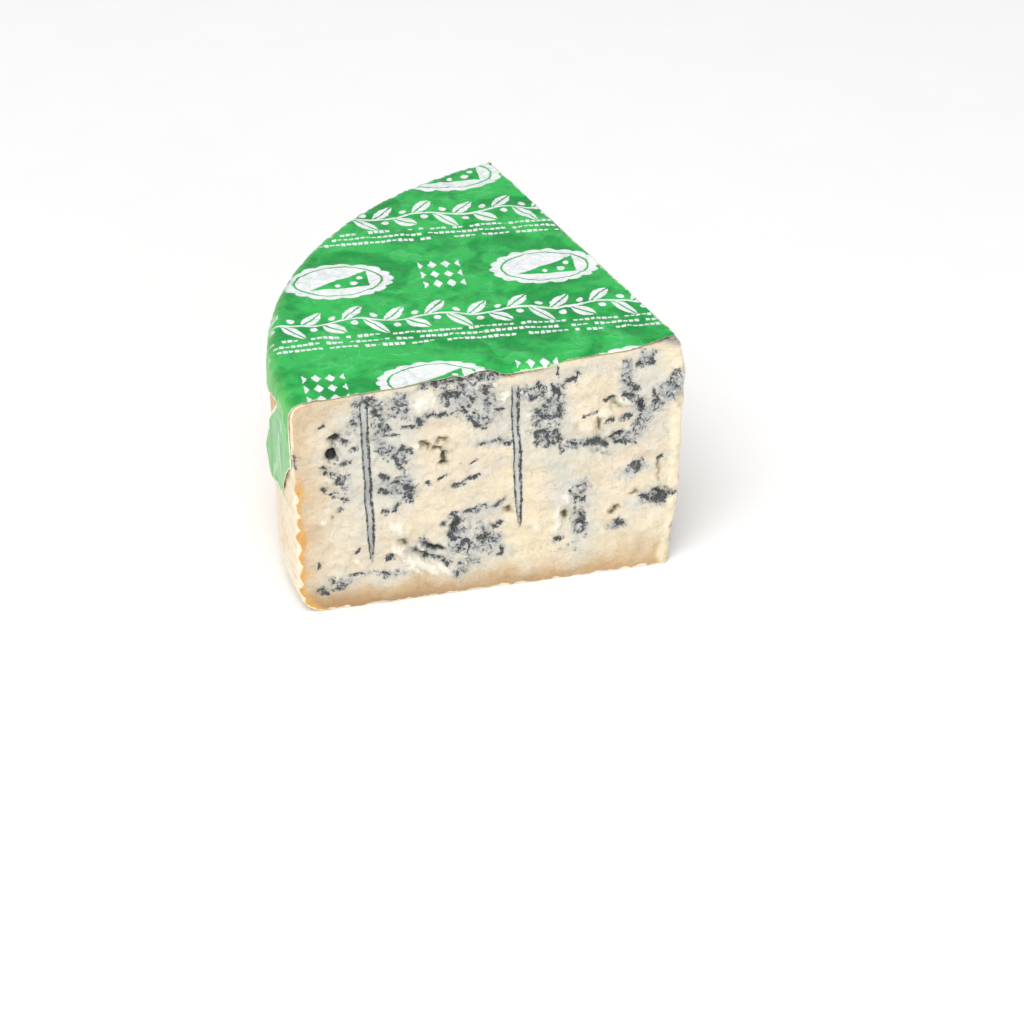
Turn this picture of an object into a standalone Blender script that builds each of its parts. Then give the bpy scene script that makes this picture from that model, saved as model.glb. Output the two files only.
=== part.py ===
"""A wedge of gorgonzola, an eighth of a wheel, with green foil over its top and part of its rim.

Units are metres and +Z is up. The origin is the middle of the wedge's footprint, at its base.
The front cut face looks towards -Y, the tip is at +X, and the rind runs round the -X side.
Inside this file a place on a cut face is written as (along, up): metres along X and metres up.
"""

import math

import bpy
from mathutils import Vector, noise

MM = 0.001

# The wheel that the wedge was cut from, and how the wedge sits in it
WHEEL_RADIUS = 150 * MM
HEIGHT = 86.5 * MM
TIP = Vector((71.8, -72.3)) * MM
WHEEL_CENTRE = TIP + Vector((5.1, 3.9)) * MM
BACK_CUT_ANGLE = math.radians(100.2)

# The knife drifted: the foot of the tip is forward of its top, and the tip swells in between
TIP_TOP_SHIFT = Vector((1.5, 0)) * MM
TIP_FOOT_SHIFT = Vector((-4, -8.1)) * MM
TIP_BELLY = 2.1 * MM
BELLY_REACH = (30 * MM, 13 * MM)
TIP_ROUNDING = 4 * MM
TIP_DROP = 1.6 * MM
TIP_DROP_REACH = 6 * MM

# Rim profile
BASE_ROUNDING = 11.5 * MM
TOP_ROUNDING = 4.5 * MM
WALL_TAPER = 2.3 * MM
WALL_UNDULATION = 0.35 * MM
UNDULATION_LENGTH = 34 * MM

# How finely the solids are divided
FRONT_STEPS = (9, 16, 17)
BACK_STEPS = 32
RIM_STEPS = 28
TIP_STEPS = 4
ROUNDING_STEPS = 4
WALL_STEPS = 17
CAP_RINGS = 2

# Cut faces: the paste is dragged, pitted and cracked by the mould
FACE_BORDER = 5 * MM
CRAG_DEPTH = 0.55 * MM
CRAG_LENGTH = 9 * MM
DRAG_DEPTH = 0.5 * MM
DRAG_LENGTH = 17 * MM
FRONT_SEED = 0.0
BACK_SEED = 7.3

# Channels left by the piercing needles, as (along, up) at top and foot in millimetres
NEEDLE_TRACKS = (
    ((-118.3, 84.0), (-115.2, 17.0)),
    ((-62.4, 79.0), (-60.6, 23.0)),
)
TRACK_HALF_WIDTH = 1.3 * MM
TRACK_DEPTH = 1.2 * MM
TRACK_FADE = (3 * MM, 6 * MM)

# Openings and cracks: along, up, half length, half width, tilt in degrees, depth (lumps are negative)
FRONT_EYES = (
    (-129.0, 72.6, 2.8, 2.2, 20, 2.2),
    (-130.6, 65.6, 3.4, 2.7, 130, 3.0),
    (-94.5, 62.4, 5.0, 2.0, 150, 1.7),
    (-89.8, 63.6, 2.8, 1.7, 5, 1.3),
    (-88.8, 56.4, 4.4, 2.1, 80, 2.4),
    (-104.0, 24.0, 2.4, 2.0, 40, 1.8),
    (-94.0, 20.2, 8.0, 1.7, 155, 1.9),
    (-96.0, 12.5, 9.5, 2.2, 150, -1.1),
    (-84.5, 27.6, 4.4, 2.2, 80, 1.6),
    (-73.0, 22.0, 3.0, 2.6, 0, 1.2),
    (-65.0, 31.0, 2.2, 1.6, 60, 1.2),
    (-44.5, 26.0, 2.8, 2.2, 60, 1.4),
    (-46.5, 31.0, 2.6, 6.0, 20, -0.9),
    (-38.5, 21.4, 4.0, 2.6, 80, 1.6),
    (-24.5, 66.6, 6.0, 2.2, 130, 1.5),
    (-30.5, 61.0, 6.0, 3.4, 60, -0.9),
    (-15.0, 65.4, 3.6, 2.1, 70, 1.8),
    (-24.0, 54.2, 4.2, 1.7, 10, 1.6),
    (-7.5, 28.4, 4.8, 2.8, 10, 1.8),
    (-26.0, 24.4, 3.4, 1.8, 50, 1.4),
    (-52.0, 64.4, 3.8, 2.8, 30, 1.2),
    (-95.5, 80.2, 4.4, 3.2, 10, -0.9),
    (-66.5, 77.0, 4.0, 3.0, 160, -1.0),
)
BACK_EYES = (
    (-24.0, 60.0, 5.0, 2.4, 25, 2.2),
    (-41.0, 33.0, 4.0, 2.6, 110, 2.6),
    (-58.0, 52.0, 7.0, 2.0, 160, 1.8),
    (-73.0, 24.0, 5.0, 2.8, 35, 2.2),
    (-86.0, 64.0, 4.2, 2.2, 70, 1.8),
    (-97.0, 41.0, 6.0, 2.2, 145, 2.0),
    (-116.0, 58.0, 3.8, 2.8, 20, 2.4),
    (-124.0, 29.0, 4.4, 2.4, 60, 1.8),
)

# Foil
FOIL_GAP = 0.3 * MM
FOIL_THICKNESS = 0.4 * MM
FOIL_EDGE_INSET = 0.4 * MM
FOIL_FRONT_CORNER = Vector((-19, 0.4)) * MM
FOIL_BACK_CORNER = Vector((0.2, 6)) * MM
FOIL_TOP_ROWS = 8
FOIL_SKIRT_ROWS = 8
FOIL_WRINKLE = 0.5 * MM

# A tongue of foil hangs down the rim beside the front cut and sweeps away from it
TONGUE_WIDTH = 15 * MM
TONGUE_STEPS = 8
TONGUE_SHORT_SIDE = 20.5 * MM
TONGUE_CORNER = 39 * MM
TONGUE_LONG_SIDE = 46.5 * MM
TONGUE_SHOULDER = 3.9 * MM
TONGUE_SAG = (5.5 * MM, 11 * MM)
TONGUE_END_RISE = 15 * MM
TONGUE_END = 11.5 * MM
TONGUE_EDGE_POWER = 1.7
TONGUE_SWEEP = 1.1
TONGUE_BULGE = 1.5 * MM
BULGE_START = (24 * MM, 25 * MM)
BULGE_FULL = (44 * MM, 38 * MM)
TUCK_SHARE = 0.4
TUCK_REACH = 7 * MM
SWEEP_START = 3.5 * MM
SWEEP_END = 60 * MM

# Past the tongue the foil's hem is short, ragged and folded
HEM_START = 17 * MM
HEM_STEPS = 31
HEM_SHORT = 2.5 * MM
HEM_LONG = 14 * MM
HEM_GROWTH = 28 * MM
HEM_RAGGED = ((19 * MM, 7 * MM), (7 * MM, 3 * MM))
FOLD_HEIGHT = 0.8 * MM
FOLD_SPACING = 27 * MM

PASTE_COLOUR = (0.83, 0.75, 0.58, 1.0)
FOIL_COLOUR = (0.05, 0.46, 0.12, 1.0)


def clear_scene():
    for obj in list(bpy.data.objects):
        bpy.data.objects.remove(obj)


def make_material(name, colour, roughness, metallic):
    material = bpy.data.materials.new(name)
    material.use_nodes = True
    shader = material.node_tree.nodes["Principled BSDF"]
    shader.inputs["Base Color"].default_value = colour
    shader.inputs["Roughness"].default_value = roughness
    shader.inputs["Metallic"].default_value = metallic
    return material


def smoothstep(low, high, value):
    t = min(max((value - low) / (high - low), 0.0), 1.0)
    return t * t * (3 - 2 * t)


def spread(start, end, steps):
    """steps + 1 even values from start to end."""
    return [start + (end - start) * k / steps for k in range(steps + 1)]


def rim_profile():
    """(inset from the wheel's radius, height) from the flat base, round the wall, to the flat top."""
    quarter = spread(0.0, math.pi / 2, ROUNDING_STEPS)
    foot = [
        (
            WALL_TAPER + BASE_ROUNDING * (1 - math.sin(a)),
            BASE_ROUNDING * (1 - math.cos(a)),
        )
        for a in quarter
    ]
    heights = spread(BASE_ROUNDING, HEIGHT - TOP_ROUNDING, WALL_STEPS)
    wall = [(wall_inset(z), z) for z in heights[1:-1]]
    shoulder = [
        (
            TOP_ROUNDING * (1 - math.cos(a)),
            HEIGHT - TOP_ROUNDING * (1 - math.sin(a)),
        )
        for a in quarter
    ]
    return foot + wall + shoulder


def wall_inset(z):
    """How far the wall stands inside the wheel's radius: the wheel narrows towards its base."""
    return WALL_TAPER * (1 - smoothstep(BASE_ROUNDING, HEIGHT - TOP_ROUNDING, z))


def undulation(angle, z):
    """A slow swell of the rim, nought at the base and the top so that both stay level."""
    along = angle * WHEEL_RADIUS / UNDULATION_LENGTH
    swell = noise.noise(Vector((along, 3.1, z / UNDULATION_LENGTH)))
    level = smoothstep(0, BASE_ROUNDING, z) * smoothstep(HEIGHT, HEIGHT - TOP_ROUNDING, z)
    return WALL_UNDULATION * swell * level


def rim_point(angle, inset, z, outward=0.0):
    radius = WHEEL_RADIUS - inset + undulation(angle, z) + outward
    return WHEEL_CENTRE + radius * Vector((math.cos(angle), math.sin(angle)))


def front_rim_angle(inset):
    """The angle at which the rim meets the front cut, which runs along X through the tip."""
    return math.pi + math.asin((WHEEL_CENTRE.y - TIP.y) / (WHEEL_RADIUS - inset))


def tip_at(z):
    """The sharp corner of the tip at one height, before it is rounded."""
    belly = TIP_BELLY * smoothstep(0, BELLY_REACH[0], z) * smoothstep(HEIGHT, HEIGHT - BELLY_REACH[1], z)
    return TIP + TIP_TOP_SHIFT.lerp(TIP_FOOT_SHIFT, 1 - z / HEIGHT) + Vector((belly, 0))


def track_x(track, z):
    """Where the line of a needle's channel crosses the front face at height z."""
    (top_x, top_z), (foot_x, foot_z) = track
    share = (z / MM - foot_z) / (top_z - foot_z)
    return TIP.x + (foot_x + (top_x - foot_x) * share) * MM


def front_columns(start, end, z):
    """Points along the front cut at one height, drawn together at the needle channels."""
    marks = [start.x]
    for track in NEEDLE_TRACKS:
        middle = track_x(track, z)
        marks += [middle + TRACK_HALF_WIDTH * k for k in (-1, -0.5, 0, 0.5, 1)]
    marks.append(end.x)
    steps = [FRONT_STEPS[0], 1, 1, 1, 1, FRONT_STEPS[1], 1, 1, 1, 1, FRONT_STEPS[2]]
    xs = [marks[0]]
    for low, high, count in zip(marks, marks[1:], steps):
        xs += spread(low, high, count)[1:]
    slope = (end.y - start.y) / (end.x - start.x)
    return [Vector((x, start.y + (x - start.x) * slope)) for x in xs]


def eye_depth(along, up, eyes):
    """How deep the openings and cracks are at a place on a cut face."""
    depth = 0.0
    for centre_x, centre_z, half_length, half_width, tilt, deepest in eyes:
        turn = math.radians(tilt)
        dx = along / MM - centre_x
        dz = up / MM - centre_z
        lengthwise = (dx * math.cos(turn) + dz * math.sin(turn)) / half_length
        crosswise = (dz * math.cos(turn) - dx * math.sin(turn)) / half_width
        depth += deepest * MM * math.exp(-((lengthwise**2 + crosswise**2) ** 1.5))
    return depth


def track_depth(along, up):
    """Half-round channels of the needles, which fade out at both ends."""
    depth = 0.0
    for track in NEEDLE_TRACKS:
        off = (TIP.x + along - track_x(track, up)) / TRACK_HALF_WIDTH
        if abs(off) >= 1:
            continue
        foot, top = track[1][1] * MM, track[0][1] * MM
        from_top, from_foot = TRACK_FADE
        fade = smoothstep(foot, foot + from_foot, up) * smoothstep(top + from_top, top, up)
        depth = max(depth, TRACK_DEPTH * math.sqrt(1 - off * off) * fade)
    return depth


def crag(along, up, seed):
    """Broken surface of the paste: small crags and, where the knife dragged, longer upright swells."""
    small = noise.fractal(Vector((along / CRAG_LENGTH, seed, up / CRAG_LENGTH)), 0.8, 2.1, 4)
    drag = noise.noise(Vector((along / DRAG_LENGTH, seed + 4, up / (2.5 * DRAG_LENGTH))))
    return CRAG_DEPTH * small + DRAG_DEPTH * drag


def face_relief(along, up, from_ends, eyes, seed):
    """How far a cut face stands out of its plane. It is nought along all four sides."""
    calm = smoothstep(0, FACE_BORDER, min(from_ends, up, HEIGHT - up))
    return calm * (crag(along, up, seed) - eye_depth(along, up, eyes))


def outline(inset, z):
    """The wedge's outline at one height: front cut, rounded tip, back cut and rim, anticlockwise."""
    front_angle = front_rim_angle(inset)
    front_end = rim_point(front_angle, inset, z)
    back_end = rim_point(BACK_CUT_ANGLE, inset, z)
    tip = tip_at(z)
    to_front = (front_end - tip).normalized()
    to_back = (back_end - tip).normalized()
    tip_start = tip + to_front * TIP_ROUNDING
    tip_end = tip + to_back * TIP_ROUNDING

    front = front_columns(front_end, tip_start, z)
    out = Vector((-to_front.y, to_front.x))
    for k, point in enumerate(front):
        from_ends = min((point - front_end).length, (point - tip_start).length)
        relief = face_relief(point.x - TIP.x, z, from_ends, FRONT_EYES, FRONT_SEED)
        relief -= track_depth(point.x - TIP.x, z)
        front[k] = point + out * relief

    rounding = []
    for t in spread(0.0, 1.0, TIP_STEPS)[1:]:
        rounding.append(tip_start * (1 - t) ** 2 + tip * 2 * t * (1 - t) + tip_end * t * t)

    back = []
    length = (back_end - tip_end).length
    out = Vector((to_back.y, -to_back.x))
    for t in spread(0.0, 1.0, BACK_STEPS)[1:]:
        from_ends = length * min(t, 1 - t)
        relief = face_relief(-t * length, z, from_ends, BACK_EYES, BACK_SEED)
        back.append(tip_end.lerp(back_end, t) + out * relief)

    rim = [
        rim_point(angle, inset, z)
        for angle in spread(BACK_CUT_ANGLE, front_angle, RIM_STEPS)[1:-1]
    ]
    return front + rounding + back + rim


def tip_drop(point):
    """The worn corner of the tip sinks a little below the top."""
    away = (point - TIP).length / TIP_DROP_REACH
    return TIP_DROP * math.exp(-away * away)


def cap(vertices, faces, ring, z, lowered, flipped):
    """Closes a ring with smaller rings towards its middle and a fan, keeping the outline's form."""
    count = len(ring)
    points = [Vector(vertices[k][:2]) for k in ring]
    middle = sum(points, Vector((0, 0))) / count
    previous = ring
    for level in range(1, CAP_RINGS + 1):
        start = len(vertices)
        share = level / (CAP_RINGS + 1)
        for point in points:
            place = point.lerp(middle, share)
            vertices.append((place.x, place.y, z - lowered(place)))
        current = list(range(start, start + count))
        for k in range(count):
            face = (previous[k], previous[(k + 1) % count], current[(k + 1) % count], current[k])
            faces.append(face[::-1] if flipped else face)
        previous = current
    vertices.append((middle.x, middle.y, z))
    centre = len(vertices) - 1
    for k in range(count):
        face = (previous[k], previous[(k + 1) % count], centre)
        faces.append(face[::-1] if flipped else face)


def build_cheese():
    """Lofts the outlines from base to top and caps both ends."""
    vertices, faces, rings = [], [], []
    for inset, z in rim_profile():
        start = len(vertices)
        lift = smoothstep(HEIGHT - 3 * TIP_DROP, HEIGHT, z)
        for point in outline(inset, z):
            vertices.append((point.x, point.y, z - lift * tip_drop(point)))
        rings.append(list(range(start, len(vertices))))
    for lower, upper in zip(rings, rings[1:]):
        count = len(lower)
        for k in range(count):
            after = (k + 1) % count
            faces.append((lower[k], lower[after], upper[after], upper[k]))
    cap(vertices, faces, rings[0], 0.0, lambda place: 0.0, flipped=True)
    cap(vertices, faces, rings[-1], HEIGHT, tip_drop, flipped=False)
    return add_object("cheese_wedge", vertices, faces, make_material("paste", PASTE_COLOUR, 0.5, 0.0))


def skirt_length(along):
    """How far the foil hangs down the rim, by the distance along the rim from the front cut."""
    if along <= TONGUE_WIDTH:
        share = min(along / TONGUE_SHOULDER, 1.0) ** TONGUE_EDGE_POWER
        sag = (TONGUE_LONG_SIDE - TONGUE_CORNER) * smoothstep(*TONGUE_SAG, along)
        rise = TONGUE_END_RISE * smoothstep(TONGUE_END, TONGUE_WIDTH, along)
        return TONGUE_SHORT_SIDE + (TONGUE_CORNER - TONGUE_SHORT_SIDE) * share + sag - rise
    growth = smoothstep(HEM_START, HEM_START + HEM_GROWTH, along)
    ragged = sum(
        height * noise.noise(Vector((along / spacing, 8.2, spacing)))
        for spacing, height in HEM_RAGGED
    )
    return HEM_SHORT + (HEM_LONG - HEM_SHORT + ragged) * growth


def skirt_sweep(along, down):
    """How far a place on the skirt has moved away from the front cut by hanging aslant."""
    if along <= TONGUE_WIDTH:
        slope = TONGUE_SWEEP * along / TONGUE_WIDTH
    else:
        slope = TONGUE_SWEEP * smoothstep(SWEEP_END, TONGUE_WIDTH, along)
    return slope * max(0.0, down - SWEEP_START)


def skirt_fold(along, down):
    """Folds that stand off the wall, more so lower down, and the tongue's bulge above its hem."""
    wave = 0.5 + 0.5 * math.cos(2 * math.pi * along / FOLD_SPACING)
    bulge = smoothstep(BULGE_START[0], BULGE_FULL[0], along)
    bulge *= smoothstep(BULGE_START[1], BULGE_FULL[1], down)
    tucked = 1 - TUCK_SHARE * smoothstep(TONGUE_LONG_SIDE - TUCK_REACH, TONGUE_LONG_SIDE, down)
    fold = FOLD_HEIGHT * wave * smoothstep(2 * MM, 22 * MM, down)
    return fold + TONGUE_BULGE * bulge * tucked


def top_wrinkle(point):
    """Shallow creases of the foil on the flat top, always clear of the cheese."""
    across = Vector((point.x / (26 * MM), point.y / (26 * MM), 1.7))
    return FOIL_WRINKLE * (0.5 + 0.5 * noise.noise(across))


def foil_column(along, whole):
    """One line of foil from the tip's end, over the top and down the rim, as (place, normal) pairs."""
    start = (TIP + FOIL_FRONT_CORNER).lerp(TIP + FOIL_BACK_CORNER, along / whole)
    front_angle = front_rim_angle(0.0) - FOIL_EDGE_INSET / WHEEL_RADIUS
    angle = front_angle - along / WHEEL_RADIUS
    edge = rim_point(angle, TOP_ROUNDING, HEIGHT)
    column = []
    for t in spread(0.0, 1.0, FOIL_TOP_ROWS):
        place = start.lerp(edge, t)
        lift = top_wrinkle(place) * smoothstep(1.0, 0.85, t)
        column.append((Vector((place.x, place.y, HEIGHT + lift)), Vector((0, 0, 1))))
    outward = Vector((math.cos(angle), math.sin(angle)))
    for turn in spread(math.pi / 2, 0.0, ROUNDING_STEPS)[1:]:
        inset = TOP_ROUNDING * (1 - math.cos(turn))
        z = HEIGHT - TOP_ROUNDING * (1 - math.sin(turn))
        place = rim_point(angle, inset, z)
        normal = Vector((outward.x * math.cos(turn), outward.y * math.cos(turn), math.sin(turn)))
        column.append((Vector((place.x, place.y, z)), normal))
    length = skirt_length(along)
    for t in spread(0.0, 1.0, FOIL_SKIRT_ROWS)[1:]:
        down = t * length
        swept = along + skirt_sweep(along, down)
        angle = front_angle - swept / WHEEL_RADIUS
        z = HEIGHT - TOP_ROUNDING - down
        place = rim_point(angle, wall_inset(z), z, outward=skirt_fold(swept, down))
        column.append((Vector((place.x, place.y, z)), Vector((math.cos(angle), math.sin(angle), 0))))
    return column


def build_foil():
    """A closed shell: an inner and an outer sheet on one grid, joined round their edge."""
    whole = WHEEL_RADIUS * (front_rim_angle(0.0) - BACK_CUT_ANGLE) - 2 * FOIL_EDGE_INSET
    stations = spread(0.0, TONGUE_WIDTH, TONGUE_STEPS) + spread(HEM_START, whole, HEM_STEPS)
    columns = [foil_column(along, whole) for along in stations]
    last = len(columns) - 1
    rows = len(columns[0])
    vertices, faces = [], []
    for offset in (FOIL_GAP, FOIL_GAP + FOIL_THICKNESS):
        for column in columns:
            vertices += [place + normal * offset for place, normal in column]
    sheet = len(columns) * rows

    def inner(i, j):
        return i * rows + j

    def outer(i, j):
        return sheet + i * rows + j

    for i in range(last):
        for j in range(rows - 1):
            faces.append((outer(i, j), outer(i, j + 1), outer(i + 1, j + 1), outer(i + 1, j))[::-1])
            faces.append((inner(i, j), inner(i, j + 1), inner(i + 1, j + 1), inner(i + 1, j)))
    border = [(i, 0) for i in range(last)]
    border += [(last, j) for j in range(rows - 1)]
    border += [(i, rows - 1) for i in range(last, 0, -1)]
    border += [(0, j) for j in range(rows - 1, 0, -1)]
    for here, after in zip(border, border[1:] + border[:1]):
        faces.append((inner(*here), inner(*after), outer(*after), outer(*here)))
    return add_object("foil_wrap", vertices, faces, make_material("green_foil", FOIL_COLOUR, 0.35, 0.3))


def add_object(name, vertices, faces, material):
    mesh = bpy.data.meshes.new(name)
    mesh.from_pydata([tuple(v) for v in vertices], [], faces)
    mesh.validate()
    mesh.materials.append(material)
    mesh.shade_smooth()
    obj = bpy.data.objects.new(name, mesh)
    bpy.context.scene.collection.objects.link(obj)
    return obj


def main():
    clear_scene()
    build_cheese()
    build_foil()


main()
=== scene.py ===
"""Looks of a wedge of blue cheese with printed foil over its top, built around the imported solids.

The cheese is one closed surface made of rings that run round the wedge at rising heights, and the
foil is a thin sheet laid over its top and down its rim. The marbling, the rind and the print are
materials. Sizes are in metres in the part's own frame: +Z is up, the front cut face looks towards
-Y, and the tip is at +X. A place on a cut face is written as (along, up), measured from the tip.
"""

import math

import bpy
import numpy as np
from mathutils import Matrix, Vector


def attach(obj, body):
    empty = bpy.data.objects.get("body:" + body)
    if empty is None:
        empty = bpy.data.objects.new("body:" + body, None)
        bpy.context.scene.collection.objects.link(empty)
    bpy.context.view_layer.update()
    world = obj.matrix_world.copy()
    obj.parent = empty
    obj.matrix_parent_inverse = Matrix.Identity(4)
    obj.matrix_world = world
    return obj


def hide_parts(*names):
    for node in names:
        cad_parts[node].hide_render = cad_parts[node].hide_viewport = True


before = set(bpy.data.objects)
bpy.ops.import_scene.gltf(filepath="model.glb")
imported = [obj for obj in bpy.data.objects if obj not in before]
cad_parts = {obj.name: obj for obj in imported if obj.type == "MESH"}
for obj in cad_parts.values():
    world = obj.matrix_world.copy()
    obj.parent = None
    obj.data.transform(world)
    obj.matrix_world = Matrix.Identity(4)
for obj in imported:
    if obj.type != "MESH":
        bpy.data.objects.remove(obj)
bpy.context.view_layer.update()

bl_info = {
    "name": "Blue cheese wedge in foil",
    "version": (1, 0, 0),
    "blender": (4, 5, 0),
    "location": "3D View > Sidebar > Cheese",
    "description": "Builds a wedge of blue cheese, its foil and a plain studio",
    "category": "Add Mesh",
}

MM = 0.001

# The wheel, and how the wedge sits in it
WHEEL_RADIUS = 150 * MM
HEIGHT = 86.5 * MM
TIP = np.array((71.8, -72.3)) * MM
WHEEL_CENTRE = TIP + np.array((5.1, 3.9)) * MM
BACK_CUT_ANGLE = math.radians(100.2)
TIP_TOP_SHIFT = np.array((1.5, 0.0)) * MM
TIP_FOOT_SHIFT = np.array((-4.0, -8.1)) * MM
TIP_BELLY = 2.1 * MM
BELLY_REACH = (30 * MM, 13 * MM)
TIP_ROUNDING = 4 * MM
TIP_DROP = 1.6 * MM
TIP_DROP_REACH = 6 * MM
BASE_ROUNDING = 11.5 * MM
TOP_ROUNDING = 4.5 * MM
WALL_TAPER = 2.3 * MM

# Ribs that the mould's slats leave round the rim
RIB_PITCH = 7 * MM
RIB_DEPTH = 0.8 * MM

# Needle channels on the front face, as (along, up) at top and foot in millimetres
NEEDLE_TRACKS = (((-118.3, 84.0), (-115.2, 16.0)), ((-62.4, 79.0), (-60.6, 22.0)))
TRACK_HALF_WIDTH = 1.3
TRACK_DEPTH = 1.1

# Mould zones: along, up, half length, half width in millimetres, tilt in degrees, strength
ZONES = (
    (-127.5, 54.0, 9.5, 4.8, 100, 0.85), (-128.0, 67.0, 6.5, 3.2, 70, 0.6),
    (-121.5, 79.0, 7.5, 2.8, 80, 0.85), (-113.0, 74.0, 12.0, 4.4, 95, 0.9),
    (-107.0, 60.5, 7.0, 4.2, 150, 0.95), (-105.5, 48.5, 8.5, 4.8, 160, 1.0),
    (-104.0, 40.5, 6.0, 2.6, 30, 0.8), (-105.0, 79.5, 6.5, 5.0, 100, 1.0),
    (-92.0, 74.4, 9.0, 2.0, 0, 0.9), (-83.0, 79.0, 10.5, 5.6, 175, 1.0),
    (-72.0, 77.5, 8.0, 4.4, 120, 0.9), (-77.0, 70.0, 9.0, 3.2, 155, 0.85),
    (-56.0, 77.0, 7.5, 3.0, 165, 0.9), (-51.5, 68.0, 7.0, 5.4, 20, 1.0),
    (-51.5, 58.0, 7.4, 4.4, 160, 1.0), (-43.5, 78.5, 6.5, 2.6, 25, 0.9),
    (-46.0, 72.0, 3.0, 12.0, 0, 0.8), (-38.0, 53.2, 8.5, 2.0, 0, 0.95),
    (-30.0, 49.0, 6.0, 1.4, 160, 0.6), (-22.0, 53.5, 8.0, 3.2, 10, 1.0),
    (-12.5, 60.5, 9.5, 3.2, 48, 1.0), (-5.5, 68.5, 6.5, 5.0, 40, 1.0),
    (-2.5, 75.0, 3.6, 2.8, 50, 0.95), (-12.0, 83.5, 4.4, 4.0, 60, 1.0),
    (-20.0, 78.0, 8.0, 2.8, 95, 0.95), (-18.0, 68.0, 7.4, 2.6, 125, 0.95),
    (-83.5, 24.0, 9.5, 4.4, 80, 0.95), (-73.0, 20.5, 7.4, 6.0, 90, 1.0),
    (-80.0, 12.0, 7.0, 4.0, 30, 0.85), (-95.0, 18.6, 8.5, 2.4, 155, 0.7),
    (-38.5, 22.0, 7.5, 3.4, 95, 0.95), (-38.5, 34.5, 6.5, 4.4, 60, 0.75),
    (-43.5, 12.0, 6.5, 3.0, 20, 0.7), (-16.5, 40.8, 7.0, 2.4, 12, 0.85),
    (-8.5, 28.2, 7.4, 3.2, 10, 1.0), (-25.0, 19.5, 4.4, 2.4, 10, 0.95),
    (-111.0, 12.5, 10.0, 2.2, 175, 0.75), (-127.0, 11.0, 5.0, 3.0, 10, 0.75),
    (-134.0, 9.4, 2.0, 4.0, 20, 0.6), (-144.0, 64.2, 1.6, 3.0, 80, 1.0),
    # The second zone here, at up 85.2 from along -98 to -62, is painted shade under the foil's front
    # edge.
    (-118.0, 84.5, 5.0, 1.8, 0, 0.9), (-80.0, 85.2, 18.0, 1.5, 1, 0.9),
    (-81.0, 45.6, 7.5, 1.6, 18, 0.85), (-68.0, 59.4, 7.5, 1.6, 175, 0.7),
    (-76.0, 33.5, 9.5, 1.5, 16, 0.85), (-66.0, 52.6, 6.0, 1.0, 4, 0.6),
    (-91.0, 48.0, 5.5, 1.1, 12, 0.6),
)

# Pale blue-grey haze around the zones: the same figures
HAZES = (
    (-121.0, 62.0, 30.0, 14.5, 92, 0.95), (-107.0, 58.0, 26.0, 10.0, 95, 0.95),
    (-103.0, 78.0, 11.0, 9.0, 90, 0.8), (-78.0, 77.0, 26.0, 9.0, 172, 1.0),
    (-65.0, 70.0, 12.0, 11.0, 90, 0.9), (-50.0, 66.0, 20.0, 10.0, 95, 1.0),
    (-38.0, 82.0, 16.0, 4.5, 8, 0.8), (-24.0, 52.5, 30.0, 6.5, 6, 0.85),
    (-8.0, 68.0, 13.0, 8.0, 60, 0.9), (-14.0, 80.0, 12.0, 8.0, 80, 0.9),
    (-19.0, 68.0, 10.0, 6.0, 120, 0.85), (-77.0, 20.0, 17.0, 14.0, 60, 0.95),
    (-94.0, 18.0, 13.0, 6.5, 155, 0.85), (-40.0, 28.0, 28.0, 9.5, 98, 0.95),
    (-15.0, 41.0, 12.0, 5.0, 10, 0.8), (-12.0, 27.0, 13.0, 5.5, 8, 0.8),
    (-60.5, 50.0, 28.0, 3.4, 91, 0.8), (-116.5, 40.0, 28.0, 4.2, 91, 0.8),
    (-127.0, 11.0, 9.0, 5.0, 0, 0.6), (-110.0, 12.0, 13.0, 5.5, 0, 0.7),
    (-45.0, 46.0, 12.0, 5.0, 95, 0.85), (-70.0, 60.5, 13.0, 4.0, 175, 0.7),
    (-70.0, 50.0, 12.0, 4.0, 5, 0.6), (-80.0, 45.0, 10.0, 3.4, 18, 0.7),
    (-75.0, 33.0, 12.0, 4.0, 16, 0.7), (-127.0, 28.0, 8.0, 12.0, 100, 0.35),
)

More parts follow.
